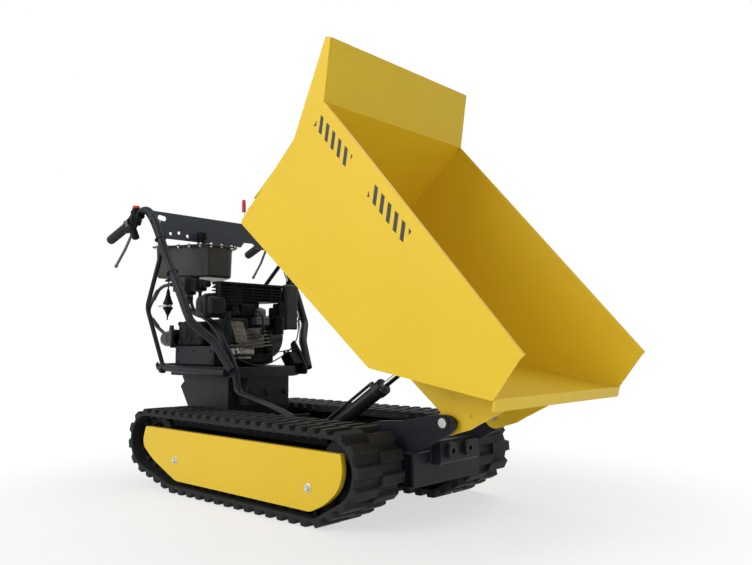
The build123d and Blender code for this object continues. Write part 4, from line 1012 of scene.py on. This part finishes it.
class DUMPER_OT_engine(bpy.types.Operator):
    """Builds the slatted cover, filter, cylinder, guard, carburettor, silencer and fittings"""

    bl_idname = "dumper.engine"
    bl_label = "Engine"

    def execute(self, context):
        self.covers()
        self.cylinder()
        self.guard()
        self.carburettor()
        self.silencer()
        self.crankcase()
        self.starter()
        return {"FINISHED"}

    def covers(self):
        """The slatted top cover, the air filter and the intake."""
        levels = [622 + i * 10.6 for i in range(5)]
        spans = ((-158, -64), (-60, 20), (24, 112))
        fit("slatted_cover", blocks(
            (-560, -62, 622, -412, 128, 680, 6), (-446, -148, 622, -412, -58, 680, 4),
            (-576, -66, 677, -400, 128, 687, 4, 3), (-450, -160, 677, -400, -62, 687, 4, 3),
            (-552, -56, 560, -440, 44, 630, 4),
            *((-424, y0, z, -398, y1, z + 4.6, 1.6) for z in levels for y0, y1 in spans),
            *((-420, y - 2.5, 622, -401, y + 2.5, 684, 1.2) for y in (-155, -110, -62, -20, 22, 66, 110)),
            *((-450, -160, z, -412, -146, z + 4.6, 1.6) for z in levels)),
            "engine_plastic", "engine_top_cover")
        lid, *case = blocks(
            (-422, -203, 567, -398, -130, 635, 16, 6), (-490, -208, 562, -418, -126, 640, 26, 8),
            (-430, -210, 560, -416, -124, 642, 6, 3), (-455, -128, 586, -424, -70, 622, 6, 3),
            *((-432, y - 5, 640, -408, y + 5, 644, 1.2) for y in (-190, -148)))
        pressed(lid, lambda face: face.normal.x > 0.95, 7, -2.2)
        fit("filter_case", [lid, *case], "filter_grey", "air_filter")
        stub = turned(((0, 15), (22, 15), (24, 18), (34, 18), (36, 14)), (-410, -92, 600), (0.35, 0, -1))
        fit("intake", [*blocks((-440, -128, 606, -404, -56, 668, 3)), stub], "engine_plastic")

    def cylinder(self):
        """The finned cylinder, the spark plug's lead and the valve cap."""
        fins = blocks(*((-420, -112, z, -350 - i * 3.0, 30 - i * 3, z + 4.2, 1.6)
                        for i, z in enumerate(462 + k * 12.5 for k in range(6))),
                      (-424, -100, 456, -368, 14, 530, 8, 3))
        tilt = at(0, 0, 490) @ Matrix.Rotation(radians(6), 4, "X") @ at(0, 0, -490)
        for piece in fins:
            piece.data.transform(tilt)
        fins.append(turned(((0, 17), (5, 17), (6, 13), (12, 13), (13, 9), (26, 9)), (-352, -30, 500),
                           (1, 0, 0.15), 6))
        fit("finned_cylinder", fins, "fin_alloy", "engine_cylinder")
        boot = turned(((0, 6), (2, 8), (16, 8), (18, 7), (28, 6.4), (30, 4)), (-330, -30, 503),
                      (0.2, 0, 1), 18)
        lead = line(((-327, -30, 520), (-324, -30, 560), (-350, -34, 590), (-400, -40, 575),
                     (-430, -44, 560)), 3.6 * MM, 10)
        fit("spark_lead", [boot, lead], "engine_plastic")
        cap = blocks((-420, -120, 426, -350, -40, 462, 15, 6), (-424, -124, 418, -380, -36, 432, 3))
        screws = socket_screws(3.6, [(-352, y, z) for y in (-104, -56) for z in (438, 451)], FORWARDS)
        fit("valve_cap", [*cap, screws], "cap_alloy")

    def guard(self):
        """The pierced heat guard beside the fins."""
        rest()
        bpy.ops.mesh.primitive_grid_add(x_subdivisions=8, y_subdivisions=12, size=1)
        guard = bpy.context.object
        guard.scale = (50 * MM, 74 * MM, 1)
        bpy.ops.object.transform_apply(scale=True)
        edit(guard)
        bpy.ops.mesh.select_mode(type="FACE")
        bpy.ops.mesh.inset(thickness=1.5 * MM, use_individual=True)
        bpy.ops.mesh.delete(type="FACE")
        rest()
        for vert in guard.data.vertices:
            vert.co.z = -9 * vert.co.x ** 2
        apply(guard, "SOLIDIFY", thickness=1.2 * MM, offset=0)
        facing = Matrix(((0, 0, 1, 0), (1, 0, 0, 0), (0, 1, 0, 0), (0, 0, 0, 1)))
        hold(guard)
        guard = settle(at(-350, -108, 514) @ Matrix.Rotation(radians(-24), 4, "Y") @ facing)
        fit("heat_guard", [outwards(guard)], "guard_metal")
        fit("guard_backing", blocks((-424, -128, 470, -372, -54, 560, 9, 3)), "crank_casting")

    def carburettor(self):
        """The carburettor with its flange, and the ribbed canister beside it."""
        fit("flange", blocks((-430, -96, 520, -410, 40, 602, 6, 3), (-426, -70, 566, -392, -10, 612, 9, 4)),
            "engine_plastic")
        body = blocks((-412, -22, 536, -366, 32, 567, 4, 3), (-410, -14, 564, -372, 26, 598, 12, 5))
        screws = socket_screws(3.4, [(-366, y, z) for y in (-15, 25) for z in (542, 561)], FORWARDS)
        fit("carburettor_body", [*body, screws], "carburettor_alloy", "carburettor")
        canister = turned([(0, 14), (2, 20), *ribbed(5, 7.4, 8, (0, 20), (0.6, 22), (3.4, 22), (4.0, 20)),
                           (66, 20), (68, 15)], (-384, 86, 503), UP, 28)
        pipe = line(((-384, 70, 520), (-384, 40, 512), (-392, 20, 515), (-400, 14, 530)), 5 * MM, 10)
        boxes = blocks((-420, 66, 548, -404, 106, 562, 2), (-440, 104, 522, -400, 150, 620, 5, 3))
        fit("canister", [canister, pipe, *boxes], "engine_plastic")

    def silencer(self):
        """The silencer box with its pressed face, louvres and tail pipe."""
        face, *others = blocks(
            (-420, 134, 524, -402, 198, 692, 5, 3), (-500, 172, 560, -424, 216, 684, 14, 5),
            (-424, 150, 640, -416, 176, 670, 1.5), (-500, 120, 630, -470, 176, 672, 8, 3),
            *((-492, 213, 574 + i * 18, -432, 219, 580 + i * 18, 2.4) for i in range(6)))
        pressed(face, lambda face: face.normal.x > 0.95, 7, 1.6)
        pipe = turned(((0, 12), (26, 12), (27, 10), (2, 9.5)), (-462, 205, 668), (0.2, 1, 0.3))
        fit("silencer", [face, pipe, *others], "silencer_steel", "muffler")

    def crankcase(self):
        """The crankcase with its ribs, bolts, filler and feet."""
        parts = blocks(
            (-592, -98, 406, -420, 86, 560, 16, 4),
            *((x, -92, 392, x + 30, 80, 416, 3) for x in (-568, -474)),
            *((-425, -70 + i * 32, 420, -412, -64 + i * 32, 546, 2) for i in range(5)),
            (-440, -60, 400, -392, 76, 440, 9, 3))
        parts.append(copies(hex_bolt(6, 8.5, 6), [towards((-420, y, z), FORWARDS, 11)
                                                  for y in (-86, 74) for z in (424, 480, 540)]))
        parts.append(turned(((0, 12), (10, 12), (11, 15), (20, 15), (21, 11)), (-398, 52, 440),
                            (0.8, 0, 1), 18))
        fit("crankcase", parts, "crank_casting", "engine_block")

    def starter(self):
        """The starter's slotted cover and its pull handle."""
        cover = skin("recoil_cover", "tank_coat", 0.9)
        cover.name = cover.data.name = "starter_cover"
        pull = line(((-455, 118, 562), (-455, 122, 548), (-462, 126, 536)), 2 * MM, 8)
        fit("starter_handle", [*blocks((-470, 108, 560, -440, 128, 606, 7, 4)), pull], "engine_plastic")


class DUMPER_OT_drive(bpy.types.Operator):
    """Builds the belt guard and the pump with their ribs, screws and fittings"""

    bl_idname = "dumper.drive"
    bl_label = "Belt guard and pump"

    def execute(self, context):
        low = blocks((-700, -142, 392.5, -458, -99, 462, 7, 3), (-704, -142, 458, -455, -99, 463, 1.5))
        places = ((-684, 446), (-580, 446), (-476, 446), (-684, 408), (-476, 408))
        screws = socket_screws(5, [(x, -142, z) for x, z in places], RIGHT)
        fit("belt_guard_low", [*low, screws], "powder_coat", "belt_guard", slot="grey_casting")
        drum = turned(((0, 44), (3, 47), (14, 47), (16, 43), (22, 43), (24, 46), (34, 46), (38, 40), (40, 20),
                       (44, 18), (46, 12)), (-640, -98, 510), RIGHT, 40)
        lugs = [turned(((0, 8), (24, 8), (26, 6)), (x, -108, z), RIGHT, 18)
                for x, z in ((-690, 545), (-560, 540), (-560, 476), (-690, 474))]
        screws = socket_screws(4, [(-640 + 38 * cos(a), -136, 510 + 38 * sin(a))
                                   for a in (radians(30 + 60 * i) for i in range(6))], RIGHT)
        fit("gear_housing", [drum, *blocks((-700, -132, 463, -545, -99, 552, 12, 4)), screws, *lugs],
            "crank_casting", slot="grey_casting")

        pump = turned(((0, 27), (2, 29), (44, 29), (45, 26.5), (47, 26.5), (48, 29), (88, 29), (94, 27),
                       (98, 21)), (-700, -120, 490), BACKWARDS, 36)
        port = turned(((0, 11), (36, 11), (38, 9), (40, 9)), (-760, -120, 492), UP, 6)
        union = turned(((0, 9.5), (10, 9.5), (11, 8)), (-760, -120, 530), UP, 6)
        places = [(-798, -120 + y, 490 + z) for y in (-14, 14) for z in (-14, 14)]
        screws = socket_screws(4, places, BACKWARDS)
        plate = blocks((-708, -160, 456, -700, -80, 524, 3))
        fit("pump", [pump, *plate, port, union, screws], "valve_casting", "hydraulic_pump")
        return {"FINISHED"}


class DUMPER_OT_cylinder_details(bpy.types.Operator):
    """Adds the gland nut, port fittings and pipe nuts of the tipping cylinder"""

    bl_idname = "dumper.cylinder_details"
    bl_label = "Cylinder fittings"

    def execute(self, context):
        start, angle = Vector(CYLINDER_FOOT), radians(CYLINDER_ANGLE)
        run = Vector((cos(angle), 0, sin(angle)))
        up = Vector((-sin(angle), 0, cos(angle)))
        parts = [turned(((0, 24), (1, 25.6), (8, 25.6), (9, 23), (11, 23), (12, 25.4), (19, 25.4), (20, 24),
                         (22, 14), (24, 13)), start + run * 384, run, 24)]
        parts += [turned(((0, 10), (6, 10), (7, 8), (10, 8)), start + run * s + up * 25, up, 6)
                  for s in (58, 367)]
        parts += [turned(((0, 22.6), (2, 23.8), (5, 23.8), (7, 22.6)), start + run * s, run)
                  for s in (28, 372)]
        fit("cylinder_fittings", parts, "valve_casting", slot="black_paint", body="cylinder_barrel")
        return {"FINISHED"}


# Stage

def camera_ray_mix(tree, lit, seen):
    """Shows one shader to the camera and to reflections, and the other to all else."""
    path = add(tree, "LightPath")
    either = add(tree, "Math", {0: path["Is Camera Ray"], 1: path["Is Glossy Ray"]}, operation="MAXIMUM")
    any_of = add(tree, "Math", {0: either["Value"], 1: path["Is Transmission Ray"]}, operation="MAXIMUM")
    return add(tree, "MixShader", {"Fac": any_of["Value"], 1: lit, 2: seen})["Shader"]


def lamp(name, place, aim, size, power, colour=(1, 1, 1)):
    """A soft square lamp at a place, turned towards a point."""
    rest()
    bpy.ops.object.light_add(type="AREA", location=place)
    light = bpy.context.object
    light.name = name
    light.data.size = size
    light.data.energy = power
    light.data.color = colour
    light.rotation_euler = (Vector(aim) - Vector(place)).to_track_quat("-Z", "Y").to_euler()


class DUMPER_OT_stage(bpy.types.Operator):
    """Sets the camera, the pale floor, the white surroundings and the lamps"""

    bl_idname = "dumper.stage"
    bl_label = "Stage"

    WHITE = (1, 1, 1, 1)
    FOCAL_PIXELS, PHOTO_WIDTH, SENSOR = 723.681, 752, 36

    def execute(self, context):
        scene = context.scene
        rest()
        bpy.ops.object.camera_add(location=(1.665, -1.632, 0.475))
        camera = context.object
        azimuth, pitch = radians(42.318), radians(4.757)
        flat = cos(pitch)
        look = Vector((-sin(azimuth) * flat, cos(azimuth) * flat, sin(pitch)))
        camera.rotation_euler = look.to_track_quat("-Z", "Y").to_euler()
        camera.data.sensor_width = self.SENSOR
        camera.data.lens = self.FOCAL_PIXELS * self.SENSOR / self.PHOTO_WIDTH
        scene.camera = camera
        scene.view_settings.view_transform = "Standard"

        world = bpy.data.worlds.new("surroundings")
        world.use_nodes = True
        scene.world = world
        tree = world.node_tree
        lit = tree.nodes["Background"]
        feed(tree, lit, {"Color": self.WHITE, "Strength": 0.38})
        seen = add(tree, "Background", {"Color": self.WHITE, "Strength": 1.0})
        feed(tree, tree.nodes["World Output"], {"Surface": camera_ray_mix(tree, lit.outputs[0], seen[0])})

        rest()
        bpy.ops.mesh.primitive_circle_add(vertices=64, radius=14, fill_type="NGON", location=(0, 0, -0.0005))
        floor = context.object
        floor.name = "floor"
        material = bpy.data.materials.new("pale_floor")
        material.use_nodes = True
        tree = material.node_tree
        matt = tree.nodes["Principled BSDF"]
        feed(tree, matt, {"Base Color": (0.86, 0.86, 0.86, 1), "Roughness": 0.9})
        glow = add(tree, "Emission", {"Color": self.WHITE, "Strength": 1.02})
        reach = add(tree, "VectorMath", {0: add(tree, "TexCoord")["Object"]}, operation="LENGTH")
        fade = add(tree, "MapRange", {"Value": reach["Value"], "From Min": 0.6, "From Max": 1.6,
                                      "To Min": 0.62, "To Max": 1.0}, interpolation_type="SMOOTHSTEP")
        part = add(tree, "MixShader", {"Fac": fade["Result"], 1: matt.outputs["BSDF"], 2: glow["Emission"]})
        feed(tree, tree.nodes["Material Output"],
             {"Surface": camera_ray_mix(tree, matt.outputs["BSDF"], part["Shader"])})
        floor.data.materials.append(material)

        centre = (0, 0, 0.5)
        lamp("key_lamp", (-1.2, -4.6, 3.0), centre, 2.6, 140)
        lamp("front_lamp", (3.0, -1.5, 0.16), (-0.3, 0, 0.30), 0.7, 26, (0.80, 0.89, 1.0))
        lamp("top_lamp", (0.0, 1.8, 4.6), centre, 3.0, 58)
        return {"FINISHED"}


# Panel

STEPS = (
    DUMPER_OT_finishes,
    DUMPER_OT_plain_skins,
    DUMPER_OT_tracks,
    DUMPER_OT_track_details,
    DUMPER_OT_covers,
    DUMPER_OT_skip,
    DUMPER_OT_skip_details,
    DUMPER_OT_stripes,
    DUMPER_OT_bolts,
    DUMPER_OT_arms,
    DUMPER_OT_plugs,
    DUMPER_OT_frame_welds,
    DUMPER_OT_hoses,
    DUMPER_OT_cables,
    DUMPER_OT_grips,
    DUMPER_OT_tank,
    DUMPER_OT_valve,
    DUMPER_OT_engine,
    DUMPER_OT_drive,
    DUMPER_OT_cylinder_details,
    DUMPER_OT_stage,
)


class DUMPER_PT_steps(bpy.types.Panel):
    """The steps of the machine's finishing, in order"""

    bl_idname = "DUMPER_PT_steps"
    bl_label = "Tracked site dumper"
    bl_space_type = "VIEW_3D"
    bl_region_type = "UI"
    bl_category = "Dumper"

    def draw(self, context):
        for group in (context.scene.dumper_sizes, context.scene.dumper_colours):
            for key in group.bl_rna.properties.keys():
                if key not in ("rna_type", "name"):
                    self.layout.prop(group, key)
        for step in STEPS:
            self.layout.operator(step.bl_idname)


CLASSES = (DumperSizes, DumperColours, *STEPS, DUMPER_PT_steps)


def register():
    for cls in CLASSES:
        bpy.utils.register_class(cls)
    bpy.types.Scene.dumper_sizes = PointerProperty(type=DumperSizes)
    bpy.types.Scene.dumper_colours = PointerProperty(type=DumperColours)


def unregister():
    del bpy.types.Scene.dumper_colours
    del bpy.types.Scene.dumper_sizes
    for cls in reversed(CLASSES):
        bpy.utils.unregister_class(cls)


def main():
    """Registers the add-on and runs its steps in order."""
    register()
    for step in STEPS:
        group, name = step.bl_idname.split(".")
        if getattr(getattr(bpy.ops, group), name)() != {"FINISHED"}:
            raise RuntimeError(step.bl_idname)
    rest()


if __name__ == "__main__":
    main()
